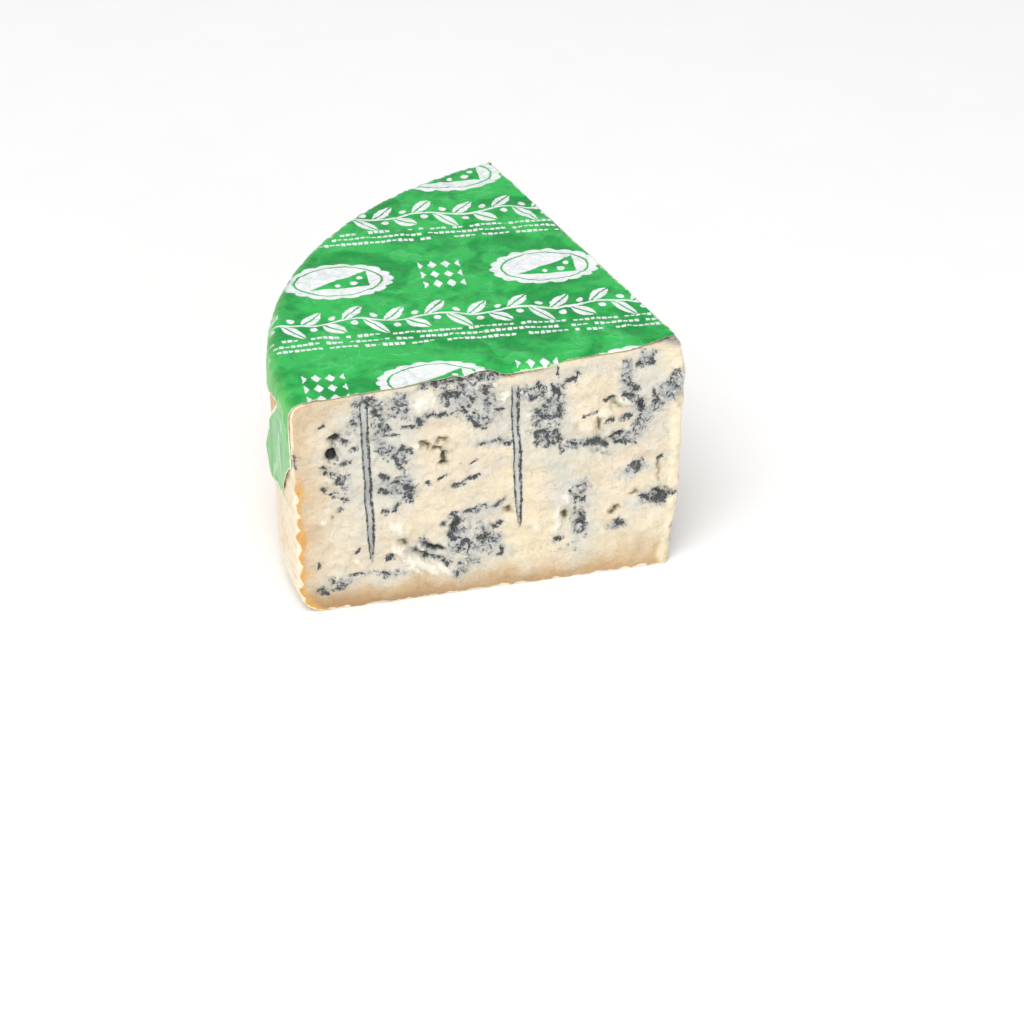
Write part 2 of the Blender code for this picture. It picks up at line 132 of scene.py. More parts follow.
# Single dark veins: along, up at both ends and half width in millimetres
VEINS = (
    (-126.0, 69.4, -124.6, 68.2, 0.9), (-133.6, 59.6, -131.9, 58.8, 0.8),
    (-131.6, 57.0, -130.2, 56.4, 0.8), (-125.8, 60.0, -123.6, 60.7, 0.8),
    (-127.2, 55.2, -127.9, 52.8, 0.9), (-133.3, 51.6, -132.0, 49.8, 0.8),
    (-130.5, 48.6, -128.4, 46.6, 0.5), (-126.2, 46.2, -124.0, 44.8, 0.6),
    (-133.9, 75.8, -132.6, 76.4, 0.6), (-122.8, 64.8, -121.4, 65.6, 0.7),
    (-116.4, 84.6, -113.8, 84.0, 1.1), (-115.0, 80.0, -112.4, 77.4, 0.8),
    (-110.2, 73.2, -107.8, 70.2, 0.4), (-109.6, 68.6, -105.2, 68.0, 0.4),
    (-111.0, 61.2, -107.4, 62.4, 1.0), (-104.2, 62.6, -101.6, 61.2, 1.0),
    (-107.4, 59.4, -104.6, 55.0, 0.8), (-104.6, 55.0, -103.9, 53.4, 0.7),
    (-112.0, 53.4, -109.4, 51.4, 0.8), (-106.8, 49.4, -105.7, 49.0, 0.8),
    (-112.5, 46.8, -108.6, 45.4, 0.7), (-102.4, 47.6, -101.0, 43.8, 1.2),
    (-103.0, 43.0, -101.2, 41.0, 0.7), (-105.6, 39.9, -107.8, 38.0, 0.7),
    (-111.0, 38.5, -110.0, 37.6, 0.7), (-98.4, 73.6, -97.2, 71.4, 1.1),
    (-103.8, 71.2, -99.4, 71.0, 0.5), (-88.0, 81.4, -83.2, 80.8, 1.0),
    (-78.9, 79.0, -78.1, 78.4, 0.9), (-74.2, 82.2, -73.2, 80.6, 1.1),
    (-95.0, 74.6, -88.6, 73.8, 0.7), (-82.0, 74.6, -79.4, 73.4, 0.7),
    (-78.0, 68.8, -74.0, 65.8, 0.6), (-69.4, 72.6, -67.6, 71.8, 0.8),
    (-57.8, 76.0, -56.0, 75.0, 0.7), (-53.4, 79.0, -51.6, 76.4, 0.9),
    (-53.8, 69.6, -51.8, 66.4, 0.9), (-46.2, 69.6, -45.8, 65.4, 0.7),
    (-54.6, 60.2, -50.2, 59.6, 0.8), (-50.6, 59.8, -49.6, 55.6, 0.7),
    (-46.7, 60.2, -45.6, 55.2, 0.8), (-46.2, 85.4, -46.0, 82.4, 0.4),
    (-48.6, 78.6, -46.2, 75.0, 0.7), (-46.2, 75.0, -45.8, 71.0, 0.5),
    (-42.6, 78.9, -39.6, 79.0, 0.6), (-39.3, 82.6, -38.4, 80.8, 0.8),
    (-45.4, 54.0, -44.7, 51.4, 0.7), (-42.2, 54.0, -35.2, 53.2, 0.7),
    (-35.2, 53.6, -31.6, 54.2, 1.1), (-31.4, 53.8, -28.4, 51.0, 0.8),
    (-25.8, 54.6, -22.2, 55.2, 1.0), (-24.6, 51.6, -18.2, 50.6, 0.7),
    (-15.2, 65.8, -14.2, 63.2, 1.3), (-18.6, 74.2, -16.6, 71.6, 1.1),
    (-21.6, 70.0, -18.4, 69.2, 0.9), (-28.4, 69.0, -25.6, 69.4, 0.6),
    (-36.6, 64.2, -33.0, 64.6, 0.5), (-33.0, 64.6, -31.6, 65.4, 0.5),
    (-27.8, 60.4, -25.4, 61.0, 0.8), (-22.2, 60.6, -19.4, 61.6, 0.9),
    (-9.8, 69.8, -9.4, 66.8, 0.8), (-15.6, 81.0, -10.4, 80.6, 0.8),
    (-76.0, 59.0, -73.4, 59.4, 0.5), (-68.4, 59.8, -64.4, 57.6, 0.6),
    (-79.0, 51.8, -76.8, 52.6, 0.4), (-95.0, 47.4, -94.2, 46.8, 0.7),
    (-90.6, 47.8, -88.0, 48.8, 0.5), (-85.2, 44.0, -82.0, 44.8, 0.8),
    (-82.0, 45.0, -79.4, 46.2, 0.7), (-78.6, 46.4, -76.0, 47.4, 0.5),
    (-89.2, 28.8, -88.2, 30.2, 0.8), (-85.0, 31.8, -83.8, 29.6, 1.2),
    (-85.2, 28.4, -84.8, 25.4, 1.2), (-87.0, 24.4, -85.4, 22.8, 0.9),
    (-80.8, 33.0, -78.6, 32.2, 0.7), (-77.6, 33.5, -74.2, 34.8, 0.5),
    (-69.4, 33.6, -66.4, 35.8, 0.8), (-83.6, 19.5, -81.4, 20.2, 0.9),
    (-81.0, 22.0, -79.0, 19.2, 0.8), (-74.4, 21.0, -73.0, 21.4, 1.2),
    (-70.6, 25.0, -68.0, 26.0, 0.8), (-66.8, 16.4, -68.2, 13.6, 0.8),
    (-79.0, 18.4, -80.6, 15.4, 0.6), (-84.4, 8.6, -85.0, 7.0, 0.7),
    (-96.8, 23.4, -94.8, 22.2, 1.0), (-94.0, 20.6, -90.0, 19.2, 0.8),
    (-99.6, 20.2, -97.0, 18.2, 0.9), (-97.0, 18.2, -90.6, 15.4, 0.8),
    (-88.6, 14.4, -87.6, 13.0, 0.9), (-109.6, 18.4, -108.0, 19.0, 0.9),
    (-123.6, 14.0, -120.0, 13.8, 0.5), (-111.0, 12.6, -109.8, 11.0, 0.8),
    (-130.0, 13.2, -129.4, 12.4, 0.8), (-128.8, 9.4, -126.2, 9.0, 0.9),
    (-134.6, 9.4, -133.2, 8.8, 0.9), (-132.8, 7.9, -131.8, 7.4, 0.9),
    (-135.2, 20.8, -134.9, 18.4, 0.5), (-121.4, 22.6, -119.8, 23.8, 0.5),
    (-127.4, 41.2, -126.8, 40.6, 0.6), (-42.0, 35.0, -39.8, 32.0, 0.6),
    (-37.8, 31.0, -36.0, 31.0, 0.7), (-39.3, 26.0, -38.6, 24.4, 0.8),
    (-38.4, 21.6, -36.8, 20.6, 1.0), (-47.2, 15.4, -45.8, 16.6, 0.9),
    (-17.4, 41.8, -15.0, 42.4, 0.8), (-8.4, 42.4, -7.0, 44.2, 0.5),
    (-15.0, 28.6, -12.6, 28.4, 1.0), (-9.0, 30.6, -7.8, 28.2, 1.1),
    (-10.2, 27.0, -7.2, 25.2, 1.2), (-6.6, 26.4, -4.2, 28.4, 0.9),
    (-24.2, 20.0, -22.8, 19.0, 1.0), (-144.4, 66.2, -143.6, 64.6, 0.8),
    (-144.2, 62.8, -143.6, 61.8, 0.8),
)

# Openings and lumps on the front face: along, up, half length, half width, tilt, depth in millimetres
EYES = (
    (-128.7, 70.9, 2.6, 2.0, 20, 2.8), (-129.8, 64.3, 3.0, 2.2, 130, 3.2),
    (-96.0, 63.0, 3.2, 1.3, 148, 1.8), (-89.9, 63.5, 2.2, 1.2, 5, 1.6),
    (-91.0, 60.2, 2.6, 1.1, 155, 1.5), (-88.6, 57.0, 2.8, 1.4, 85, 1.6),
    (-89.0, 54.0, 2.2, 1.0, 170, 1.6), (-104.0, 24.0, 2.0, 1.6, 40, 1.5),
    (-94.0, 20.6, 7.0, 1.3, 155, 1.7), (-96.0, 17.0, 6.0, 1.1, 158, 1.3),
    (-84.6, 28.0, 3.8, 1.7, 80, 1.6), (-73.2, 22.0, 2.4, 2.0, 0, 1.2),
    (-65.0, 31.0, 2.0, 1.4, 60, 1.2), (-44.5, 26.4, 2.6, 1.5, 60, 1.4),
    (-38.5, 21.4, 3.4, 2.0, 80, 1.4), (-24.5, 66.6, 4.6, 1.4, 130, 1.5),
    (-31.0, 60.4, 3.6, 1.4, 85, 1.0), (-15.0, 65.0, 2.8, 1.6, 70, 1.5),
    (-24.0, 54.6, 3.2, 1.3, 10, 1.6), (-7.8, 28.4, 3.8, 2.0, 10, 1.7),
    (-25.6, 24.8, 3.0, 1.3, 50, 1.4), (-17.8, 30.6, 2.6, 1.1, 5, 1.0),
    (-8.4, 38.0, 4.4, 0.9, 92, 1.0), (-114.0, 58.6, 1.8, 1.2, 70, 0.9),
    (-96.0, 80.0, 4.4, 3.2, 10, -1.0), (-71.0, 82.0, 2.4, 1.8, 30, -1.0),
    (-66.3, 77.2, 2.4, 1.8, 30, -1.2), (-47.0, 24.0, 6.4, 1.7, 88, -1.2),
    (-43.4, 32.6, 3.0, 2.2, 60, -0.8), (-20.6, 67.4, 4.6, 1.3, 142, -1.2),
    (-28.8, 63.6, 3.2, 2.0, 30, -0.7), (-103.0, 17.0, 9.0, 1.7, 128, -1.1),
    (-95.6, 13.0, 6.0, 1.5, 140, -0.9), (-97.2, 20.6, 1.9, 1.0, 150, -1.0),
    (-89.5, 11.6, 4.2, 1.5, 140, -0.8), (-106.0, 30.0, 3.6, 2.6, 120, -0.8),
    (-133.2, 37.4, 1.6, 1.3, 30, -0.8), (-107.2, 58.0, 2.8, 1.4, 100, -0.6),
    (-55.0, 22.6, 3.6, 1.6, 130, -0.5), (-99.6, 62.4, 1.6, 1.6, 0, -0.7),
    (-85.6, 60.6, 2.2, 1.4, 60, -0.7), (-120.8, 18.4, 2.2, 0.9, 120, -0.6),
    (-57.6, 67.2, 2.4, 2.0, 40, -0.6), (-49.4, 63.0, 2.2, 1.5, 150, -0.6),
)

# Olive brown of the old openings: along, up at both ends and half width in millimetres
STAINS = (
    (-97.6, 64.0, -94.4, 62.0, 1.2), (-92.4, 60.8, -89.6, 59.6, 0.9),
    (-88.6, 58.8, -88.8, 55.0, 1.2), (-90.4, 54.0, -87.6, 53.8, 0.9),
    (-91.2, 63.3, -88.4, 63.7, 1.2), (-25.8, 67.8, -22.8, 65.0, 0.8),
    (-31.2, 62.4, -30.8, 58.4, 0.9), (-34.4, 53.8, -30.4, 53.6, 1.4),
    (-25.6, 54.2, -22.2, 55.0, 1.4), (-30.4, 48.6, -27.6, 47.4, 0.9),
    (-19.4, 30.6, -16.4, 30.4, 1.1), (-26.6, 24.0, -23.8, 26.4, 1.1),
    (-8.8, 42.0, -8.2, 34.0, 0.6), (-104.4, 24.6, -103.4, 23.6, 1.6),
    (-65.4, 31.6, -64.6, 30.2, 1.3), (-45.0, 27.2, -43.8, 25.4, 1.2),
    (-1.0, 70.0, -0.4, 62.0, 1.2), (-99.4, 19.6, -96.0, 17.6, 1.0),
    (-17.6, 73.4, -16.4, 71.4, 1.1), (-129.8, 39.2, -129.2, 38.8, 0.9),
)

# How finely the cheese is divided: columns of front, tip, back, rim; rows of foot, wall, shoulder
COLUMNS = (292, 8, 118, 106)
ROWS = (18, 137, 9)
CAP_RINGS = 3

# Each field of the cheese with its value where a side has none
FIELDS = {
    "zone": 0.0, "haze": 0.0, "vein": 0.0, "stain": 0.0, "lump": 0.0, "eye": 0.0, "track": 0.0,
    "pale": 0.0, "rind": 0.0, "rib": 1.0, "from_rim": 30.0, "from_tip": 60.0,
}

# Where the cheese falls away from the foil under its front edge and is painted with shade, as along in
# millimetres
RECESS = (-100.0, -95.0, -62.0, -42.0)
RECESS_DEPTH = 1.9 * MM
RECESS_HEIGHT = (83.8 * MM, 85.4 * MM)

# Foil
FOIL_GAP = 0.14 * MM
FOIL_EDGE_INSET = 0.1 * MM
FOIL_FRONT_CORNER = np.array((-19.0, 0.4)) * MM
FOIL_BACK_CORNER = np.array((0.2, 6.0)) * MM
TONGUE_WIDTH = 15 * MM
TONGUE_SHORT_SIDE = 20.5 * MM
TONGUE_CORNER = 39 * MM
TONGUE_LONG_SIDE = 46.5 * MM
TONGUE_SHOULDER = 3.9 * MM
TONGUE_SAG = (5.5 * MM, 11 * MM)
TONGUE_END_RISE = 15 * MM
TONGUE_END = 11.5 * MM
TONGUE_EDGE_POWER = 1.7
TONGUE_SWEEP = 1.1
TONGUE_BULGE = 1.5 * MM
BULGE_START = (24 * MM, 25 * MM)
BULGE_FULL = (44 * MM, 38 * MM)
TUCK_SHARE = 0.4
TUCK_REACH = 7 * MM
SWEEP_START = 3.5 * MM
SWEEP_END = 60 * MM
HEM_START = 15.6 * MM
HEM_SHORT = 2.5 * MM
HEM_LONG = 14 * MM
HEM_GROWTH = 28 * MM
FOLD_HEIGHT = 0.8 * MM
FOLD_SPACING = 27 * MM
RIB_CLEARANCE = 0.42 * MM

# Raggedness of the hem: length and height in millimetres, and seed, of each noise
HEM_SWINGS = ((21.0, 5.0, 9), (9.0, 2.2, 13), (3.6, 0.7, 21))

# How finely the foil is divided: columns of tongue and rest; rows of top, shoulder, skirt
FOIL_COLUMNS = (44, 214)
FOIL_ROWS = (92, 9, 42)

# Front edge of the foil, as x from the tip in millimetres: where it lifts, where it droops, and the
# middle and half width of its small notch
EDGE_LOOSE = (-101, -96, -86, -80)
EDGE_DROOP = (-71, -66, -50, -42)
EDGE_NOTCH = (-74.5, 4.6)

# Creases of the foil on the top: x, y from the tip at both ends, half width and height in millimetres
CREASES = (
    (-104.0, 13.0, -72.0, 9.0, 1.6, 0.7), (-72.0, 9.0, -58.0, 15.0, 1.2, 0.5),
    (-30.0, 36.0, -8.0, 52.0, 1.3, 0.6), (-44.0, 58.0, -18.0, 88.0, 1.6, 0.6),
    (-26.0, 96.0, -6.0, 128.0, 1.4, 0.6), (-120.0, 40.0, -84.0, 62.0, 1.5, 0.5),
    (-132.0, 22.0, -112.0, 30.0, 1.2, 0.5), (-90.0, 84.0, -62.0, 112.0, 1.5, 0.6),
    (-66.0, 34.0, -48.0, 40.0, 1.1, 0.4), (-20.0, 12.0, -6.0, 22.0, 1.0, 0.5),
)

# Side of the square that the UV map of the flat sheet fills
SHEET_SPAN = 0.4

# Print on the foil, in millimetres
PRINT_TURN = math.radians(-9)
PRINT_SOFTNESS = 0.28
ROW_REPEAT = 74.0
ROW_SHIFT = -0.14
BAND_STEP = 23.0
VINE_ROW = 22.0
VINE_PITCH = 15.0
VINE_SWING = 1.6
STEM_HALF_WIDTH = 0.55
LEAF_TURN = math.radians(48)
LEAF_SIZE = (6.2, 2.5)
LEAF_OFF = 4.6
MIDRIB_HALF_WIDTH = 0.35
BERRY_RADIUS = 1.35
BERRY_OFF = 3.0
DASH_ROWS = (4.0, 7.6, 11.2)
DASH_PITCH = 2.1
DASH_SHIFT = 0.37
SEAL_ROW = 51.0
SEAL_PITCH = 76.0
SEAL_SIZE = (20.0, 12.5)
SEAL_SCALLOPS = 9.0
SEAL_RIM = (0.95, 0.07)
SEAL_LINE = (0.80, 0.28)
SEAL_SHARE = 13.0
WEDGE_REACH = 11.0
WEDGE_FOOT = 5.0
WEDGE_SLOPE = 0.52
WEDGE_HOLES = ((5.5, -2.2, 1.5), (-0.5, -3.0, 1.0), (8.0, 1.8, 1.1))
LOZENGE_FIELD = (7.5, 10.5)
LOZENGE_PITCH = (5.0, 7.0)
LOZENGE_SIZE = 2.5

# Studio, in metres: half side of the floor, and place and width of the lights
FLOOR_REACH = 3.0
KEY_LIGHT = ((-0.5, -0.7, 1.5), 1.2)
FILL_LIGHT = ((0.3, -1.6, 0.5), 1.0)
LIGHT_TARGET = (0.0, 0.0, 0.05)

# Colours that no setting holds, as linear red, green, blue and alpha
BUTTER = (0.80, 0.69, 0.47, 1.0)
FLECK = (0.88, 0.82, 0.69, 1.0)
# Browns towards the foot: partly tan under the rind, partly painted contact shadow.
BASE_BROWN_AND_SHADE = (0.50, 0.325, 0.155, 1.0)
FOOT_BROWN_AND_SHADE = (0.43, 0.25, 0.105, 1.0)
TIP_CREAM = (0.88, 0.78, 0.55, 1.0)
# Paler cream of the lumps: partly cream smears, partly painted highlight.
LUMP_CREAM_AND_HIGHLIGHT = (0.87, 0.83, 0.72, 1.0)
# Grey that deepens in the openings: painted shade.
HOLLOW_SHADE = (0.50, 0.45, 0.34, 1.0)
STAIN_HALO = (0.40, 0.335, 0.19, 1.0)
FLAKE_WHITE = (0.78, 0.77, 0.74, 1.0)
TRACK_GREY = (0.30, 0.31, 0.31, 1.0)
TRACK_PALE = (0.60, 0.60, 0.58, 1.0)
MOULD_GREY = (0.215, 0.225, 0.225, 1.0)
# Black in the deepest openings: painted shade.
HOLE_SHADE = (0.018, 0.018, 0.014, 1.0)
BASE_LINE = (0.88, 0.82, 0.70, 1.0)
RIND_UNDER_BLOOM = (0.69, 0.36, 0.08, 1.0)
BLOOM_PALE = (0.96, 0.87, 0.71, 1.0)
GROOVE_TAN = (0.74, 0.50, 0.27, 1.0)
# Lighter green of the creases: painted highlight.
CREASE_HIGHLIGHT = (0.12, 0.58, 0.22, 1.0)
# Pale of the streaks on the hanging side: painted highlight.
HIGHLIGHT_PALE = (0.80, 0.90, 0.74, 1.0)
FLOOR_GREYS = ((0.90, 0.90, 0.90, 1.0), (0.93, 0.93, 0.93, 1.0))


class CheeseSettings(bpy.types.PropertyGroup):
    """Colours and surface of the paste and the rind."""

    paste: bpy.props.FloatVectorProperty(
        name="Paste", description="Colour of the clean paste", subtype="COLOR",
        size=4, default=(0.79, 0.69, 0.525, 1.0),
    )
    haze: bpy.props.FloatVectorProperty(
        name="Haze", description="Pale blue-grey of the paste near the mould", subtype="COLOR",
        size=4, default=(0.61, 0.605, 0.54, 1.0),
    )
    mould: bpy.props.FloatVectorProperty(
        name="Mould", description="Colour of the dark veins", subtype="COLOR",
        size=4, default=(0.055, 0.062, 0.064, 1.0),
    )
    mould_pale: bpy.props.FloatVectorProperty(
        name="Pale mould", description="Blue-grey bloom between the veins", subtype="COLOR",
        size=4, default=(0.365, 0.385, 0.39, 1.0),
    )
    stain: bpy.props.FloatVectorProperty(
        name="Stain", description="Olive brown of old openings", subtype="COLOR",
        size=4, default=(0.085, 0.068, 0.035, 1.0),
    )
    # Also paints the shade in the top corner near the rim.
    tan_and_corner_shade: bpy.props.FloatVectorProperty(
        name="Under the rind", description="Tan paste close to the rind", subtype="COLOR",
        size=4, default=(0.62, 0.47, 0.30, 1.0),
    )
    rind: bpy.props.FloatVectorProperty(
        name="Rind", description="Orange of the rind", subtype="COLOR",
        size=4, default=(0.76, 0.36, 0.085, 1.0),
    )
    bloom: bpy.props.FloatVectorProperty(
        name="Bloom", description="Cream bloom on the rind", subtype="COLOR",
        size=4, default=(0.93, 0.785, 0.57, 1.0),
    )
    crag_depth: bpy.props.FloatProperty(
        name="Crag depth", description="Height of the broken surface of the cut faces",
        default=0.8 * MM, min=0.0, subtype="DISTANCE", unit="LENGTH",
    )
    drag_depth: bpy.props.FloatProperty(
        name="Drag depth", description="Height of the knife's upright drag marks",
        default=0.16 * MM, min=0.0, subtype="DISTANCE", unit="LENGTH",
    )


class FoilSettings(bpy.types.PropertyGroup):
    """Colours and gauge of the printed foil."""

    # Deep and bright greens are mixed by the crumple's tone: partly the foil's own blotches, partly
    # painted light and shade.
    deep: bpy.props.FloatVectorProperty(
        name="Deep green", description="Foil where it is pressed onto the cheese", subtype="COLOR",
        size=4, default=(0.0, 0.28, 0.045, 1.0),
    )
    bright: bpy.props.FloatVectorProperty(
        name="Bright green", description="Foil where it catches the light", subtype="COLOR",
        size=4, default=(0.03, 0.47, 0.09, 1.0),
    )
    # Lighter green of the hanging side: painted light.
    worn: bpy.props.FloatVectorProperty(
        name="Worn green", description="Thin ink on the hanging side", subtype="COLOR",
        size=4, default=(0.19, 0.62, 0.16, 1.0),
    )
    ink: bpy.props.FloatVectorProperty(
        name="White ink", description="White of the print", subtype="COLOR",
        size=4, default=(0.86, 0.85, 0.89, 1.0),
    )
    backing: bpy.props.FloatVectorProperty(
        name="Backing", description="Pale backing and torn edge of the foil", subtype="COLOR",
        size=4, default=(0.88, 0.86, 0.66, 1.0),
    )
    thickness: bpy.props.FloatProperty(
        name="Thickness", description="Gauge of the foil with its backing",
        default=0.16 * MM, min=0.01 * MM, subtype="DISTANCE", unit="LENGTH",
    )
    wrinkle: bpy.props.FloatProperty(
        name="Wrinkle", description="Height of the creases on the flat top",
        default=0.55 * MM, min=0.0, subtype="DISTANCE", unit="LENGTH",
    )


class StageSettings(bpy.types.PropertyGroup):
    """Camera, floor and lights."""

    camera_place: bpy.props.FloatVectorProperty(
        name="Camera place", description="Where the camera stands", subtype="TRANSLATION",
        unit="LENGTH", size=3, default=(-0.49505, -1.49933, 0.97937),
    )
    camera_yaw: bpy.props.FloatProperty(
        name="Yaw", description="Turn of the view from +Y towards +X", subtype="ANGLE",
        unit="ROTATION", default=math.radians(19.46),
    )
    camera_dip: bpy.props.FloatProperty(
        name="Dip", description="How far the camera looks down", subtype="ANGLE",
        unit="ROTATION", default=math.radians(32.15),
    )
    camera_roll: bpy.props.FloatProperty(
        name="Roll", description="Turn of the picture", subtype="ANGLE",
        unit="ROTATION", default=math.radians(-0.89),
    )
    lens: bpy.props.FloatProperty(
        name="Lens", description="Focal length in millimetres", default=175.78, min=1.0,
        subtype="DISTANCE_CAMERA",
    )
    sky: bpy.props.FloatProperty(
        name="Sky", description="Strength of the even white surroundings", default=0.66, min=0.0,
    )
    key: bpy.props.FloatProperty(
        name="Key light", description="Power of the large light above", default=19.0, min=0.0,
        subtype="POWER", unit="POWER",
    )
    fill: bpy.props.FloatProperty(
        name="Fill light", description="Power of the light from the front", default=4.0, min=0.0,
        subtype="POWER", unit="POWER",
    )


def smoothstep(low, high, value):
    """Cubic ease from 0 at low to 1 at high."""
    t = np.clip((value - low) / (high - low), 0.0, 1.0)
    return t * t * (3 - 2 * t)


def window(value, start, full, fading, end):
    """Eases from 0 at start to 1 at full, and from 1 at fading back to 0 at end."""
    return smoothstep(start, full, value) * smoothstep(end, fading, value)


def lattice_noise(x, y, seed):
    """Smooth noise from about -1 to 1: chance slopes at the corners of unit squares, eased."""
    cell_x, cell_y = np.floor(x), np.floor(y)
    fx, fy = x - cell_x, y - cell_y
    ease_x = fx**3 * (fx * (fx * 6 - 15) + 10)
    ease_y = fy**3 * (fy * (fy * 6 - 15) + 10)

    def corner(dx, dy):
        """Slope of one corner times the way to it; the slope's direction is a hash of the corner."""
        code = (cell_x + dx).astype(np.int64) * 374761393 + (cell_y + dy).astype(np.int64) * 668265263
        code = (code + seed * 1442695041) & 0xFFFFFFFF
        code = ((code ^ (code >> 13)) * 1274126177) & 0xFFFFFFFF
        turn = ((code ^ (code >> 16)) & 0xFFFF) * (2 * np.pi / 65536)
        return np.cos(turn) * (fx - dx) + np.sin(turn) * (fy - dy)

    low = corner(0, 0) + (corner(1, 0) - corner(0, 0)) * ease_x
    high = corner(0, 1) + (corner(1, 1) - corner(0, 1)) * ease_x
    return (low + (high - low) * ease_y) * 1.4


def fractal(x, y, seed, octaves=4):
    """Lattice noise added up, each octave twice as fine and half as high."""
    total, height = 0.0, 1.0
    for octave in range(octaves):
        total = total + height * lattice_noise(x * 2**octave, y * 2**octave, seed + octave)
        height *= 0.5
    return total / 1.6


def distance_to_stroke(along, up, stroke):
    """Distance in millimetres from each place to a straight stroke between two points."""
    x0, z0, x1, z1 = stroke
    dx, dz = x1 - x0, z1 - z0
    share = ((along - x0) * dx + (up - z0) * dz) / (dx * dx + dz * dz + 1e-9)
    share = np.clip(share, 0.0, 1.0)
    return np.hypot(along - x0 - share * dx, up - z0 - share * dz)


def strokes_field(along, up, strokes):
    """Highest of all strokes at each place: each falls off with its distance over its width."""
    field = np.zeros_like(along)
    for x0, z0, x1, z1, half_width in strokes:
        away = distance_to_stroke(along, up, (x0, z0, x1, z1)) / half_width
        field = np.maximum(field, np.exp(-0.7 * away**1.35))
    return field


def oval_distance(along, up, oval):
    """Distance from an oval's middle as a share of its size: the root of the two shares squared."""
    x, z, half_length, half_width, tilt = oval
    turn = math.radians(tilt)
    dx, dz = along - x, up - z
    lengthwise = (dx * math.cos(turn) + dz * math.sin(turn)) / half_length
    crosswise = (dz * math.cos(turn) - dx * math.sin(turn)) / half_width
    return np.hypot(lengthwise, crosswise)


def ovals_field(along, up, ovals):
    """Ovals joined as soft spots, 1 - product of (1 - spot), with a flat middle and a soft edge."""
    rest = np.ones_like(along)
    for *oval, strength in ovals:
        rest *= 1 - strength * np.exp(-oval_distance(along, up, oval) ** 3.2)
    return 1 - rest


def eye_fields(along, up):
    """(depth, lump) in millimetres: openings sink as bells with flat floors, and lumps rise."""
    depth, lump = np.zeros_like(along), np.zeros_like(along)
    for *oval, deepest in EYES:
        bell = abs(deepest) * np.exp(-oval_distance(along, up, oval) ** 3)
        if deepest > 0:
            depth = np.maximum(depth, bell)
        else:
            lump = np.maximum(lump, bell)
    return depth, lump


def track_fields(along, up):
    """(groove, lining): the needle channels' depth share, and their two dark sides."""
    groove, lining = np.zeros_like(along), np.zeros_like(along)
    for (top_x, top_z), (foot_x, foot_z) in NEEDLE_TRACKS:
        line = foot_x + (top_x - foot_x) * (up - foot_z) / (top_z - foot_z)
        line = line + 0.22 * lattice_noise(up / 9.0, up * 0 + foot_x, 5)
        taper = smoothstep(foot_z - 1, foot_z + 16, up) * 0.75 + 0.25
        off = (along - line) / (TRACK_HALF_WIDTH * taper)
        fade = smoothstep(foot_z - 1, foot_z + 4, up) * smoothstep(top_z + 3, top_z - 1, up)
        groove = np.maximum(groove, np.sqrt(np.clip(1 - off**2, 0, 1)) * fade)
        ragged = 0.9 + 0.25 * lattice_noise(up * 0.8, along * 0.4, 17)
        side = np.exp(-(((np.abs(off) - 0.85) / 0.29) ** 2)) * ragged
        lining = np.maximum(lining, side * fade)
    return groove, lining


def back_fields(along, up):
    """Mould zones and veins of the unseen back cut: broad noise picks the zones, a finer one veins."""
    broad = fractal(along / 26.0, up / 19.0, 71, 3)
    zone = smoothstep(0.08, 0.42, broad)
    haze = smoothstep(-0.12, 0.3, broad)
    vein = 1 - smoothstep(0.02, 0.10, np.abs(fractal(along / 15.0, up / 11.0, 83, 3)))
    vein *= smoothstep(-0.05, 0.2, fractal(along / 9.0, up / 9.0, 97, 2))
    return zone, haze, vein * smoothstep(0.0, 0.3, broad + 0.1)


def profile_rows():
    """(inset, height) of each ring: round foot, tapering wall, round shoulder."""
    foot = np.linspace(0, np.pi / 2, ROWS[0] + 1)
    wall = np.linspace(BASE_ROUNDING, HEIGHT - TOP_ROUNDING, ROWS[1] + 1)[1:-1]
    shoulder = np.linspace(0, np.pi / 2, ROWS[2] + 1)
    inset = np.concatenate((
        WALL_TAPER + BASE_ROUNDING * (1 - np.sin(foot)),
        wall_inset(wall),
        TOP_ROUNDING * (1 - np.cos(shoulder)),
    ))
    height = np.concatenate((
        BASE_ROUNDING * (1 - np.cos(foot)),
        wall,
        HEIGHT - TOP_ROUNDING * (1 - np.sin(shoulder)),
    ))
    return inset, height


def wall_inset(z):
    """How far the wall stands inside the wheel's radius: the wheel narrows towards its base."""
    return WALL_TAPER * (1 - smoothstep(BASE_ROUNDING, HEIGHT - TOP_ROUNDING, z))


def front_rim_angle(inset):
    """Angle where the rim meets the front cut, which runs along X through the tip.

    It is half a turn plus the arcsine of the cut's distance from the middle over the radius.
    """
    return np.pi + np.arcsin((WHEEL_CENTRE[1] - TIP[1]) / (WHEEL_RADIUS - inset))


def on_rim(angle, inset):
    """Plan position at an angle on the rim, as an array of pairs."""
    radius = WHEEL_RADIUS - inset
    return WHEEL_CENTRE + np.stack((radius * np.cos(angle), radius * np.sin(angle)), -1)


def tip_at(z):
    """Plan position of the sharp tip at each height, before it is rounded."""
    belly = TIP_BELLY * smoothstep(0, BELLY_REACH[0], z)
    belly = belly * smoothstep(HEIGHT, HEIGHT - BELLY_REACH[1], z)
    share = (1 - z / HEIGHT)[..., None]
    place = TIP + TIP_TOP_SHIFT * (1 - share) + TIP_FOOT_SHIFT * share
    return place + np.stack((belly, belly * 0), -1)


def unit(vectors):
    """Vectors divided by their own lengths."""
    return vectors / np.linalg.norm(vectors, axis=-1, keepdims=True)


class Side:
    """One side of the wedge as grids over rows and columns: plan places, outward directions, fields."""

    def __init__(self, place, out, **fields):
        self.place = place
        self.out = out
        self.lift = np.zeros(place.shape[:2])
        self.fields = fields


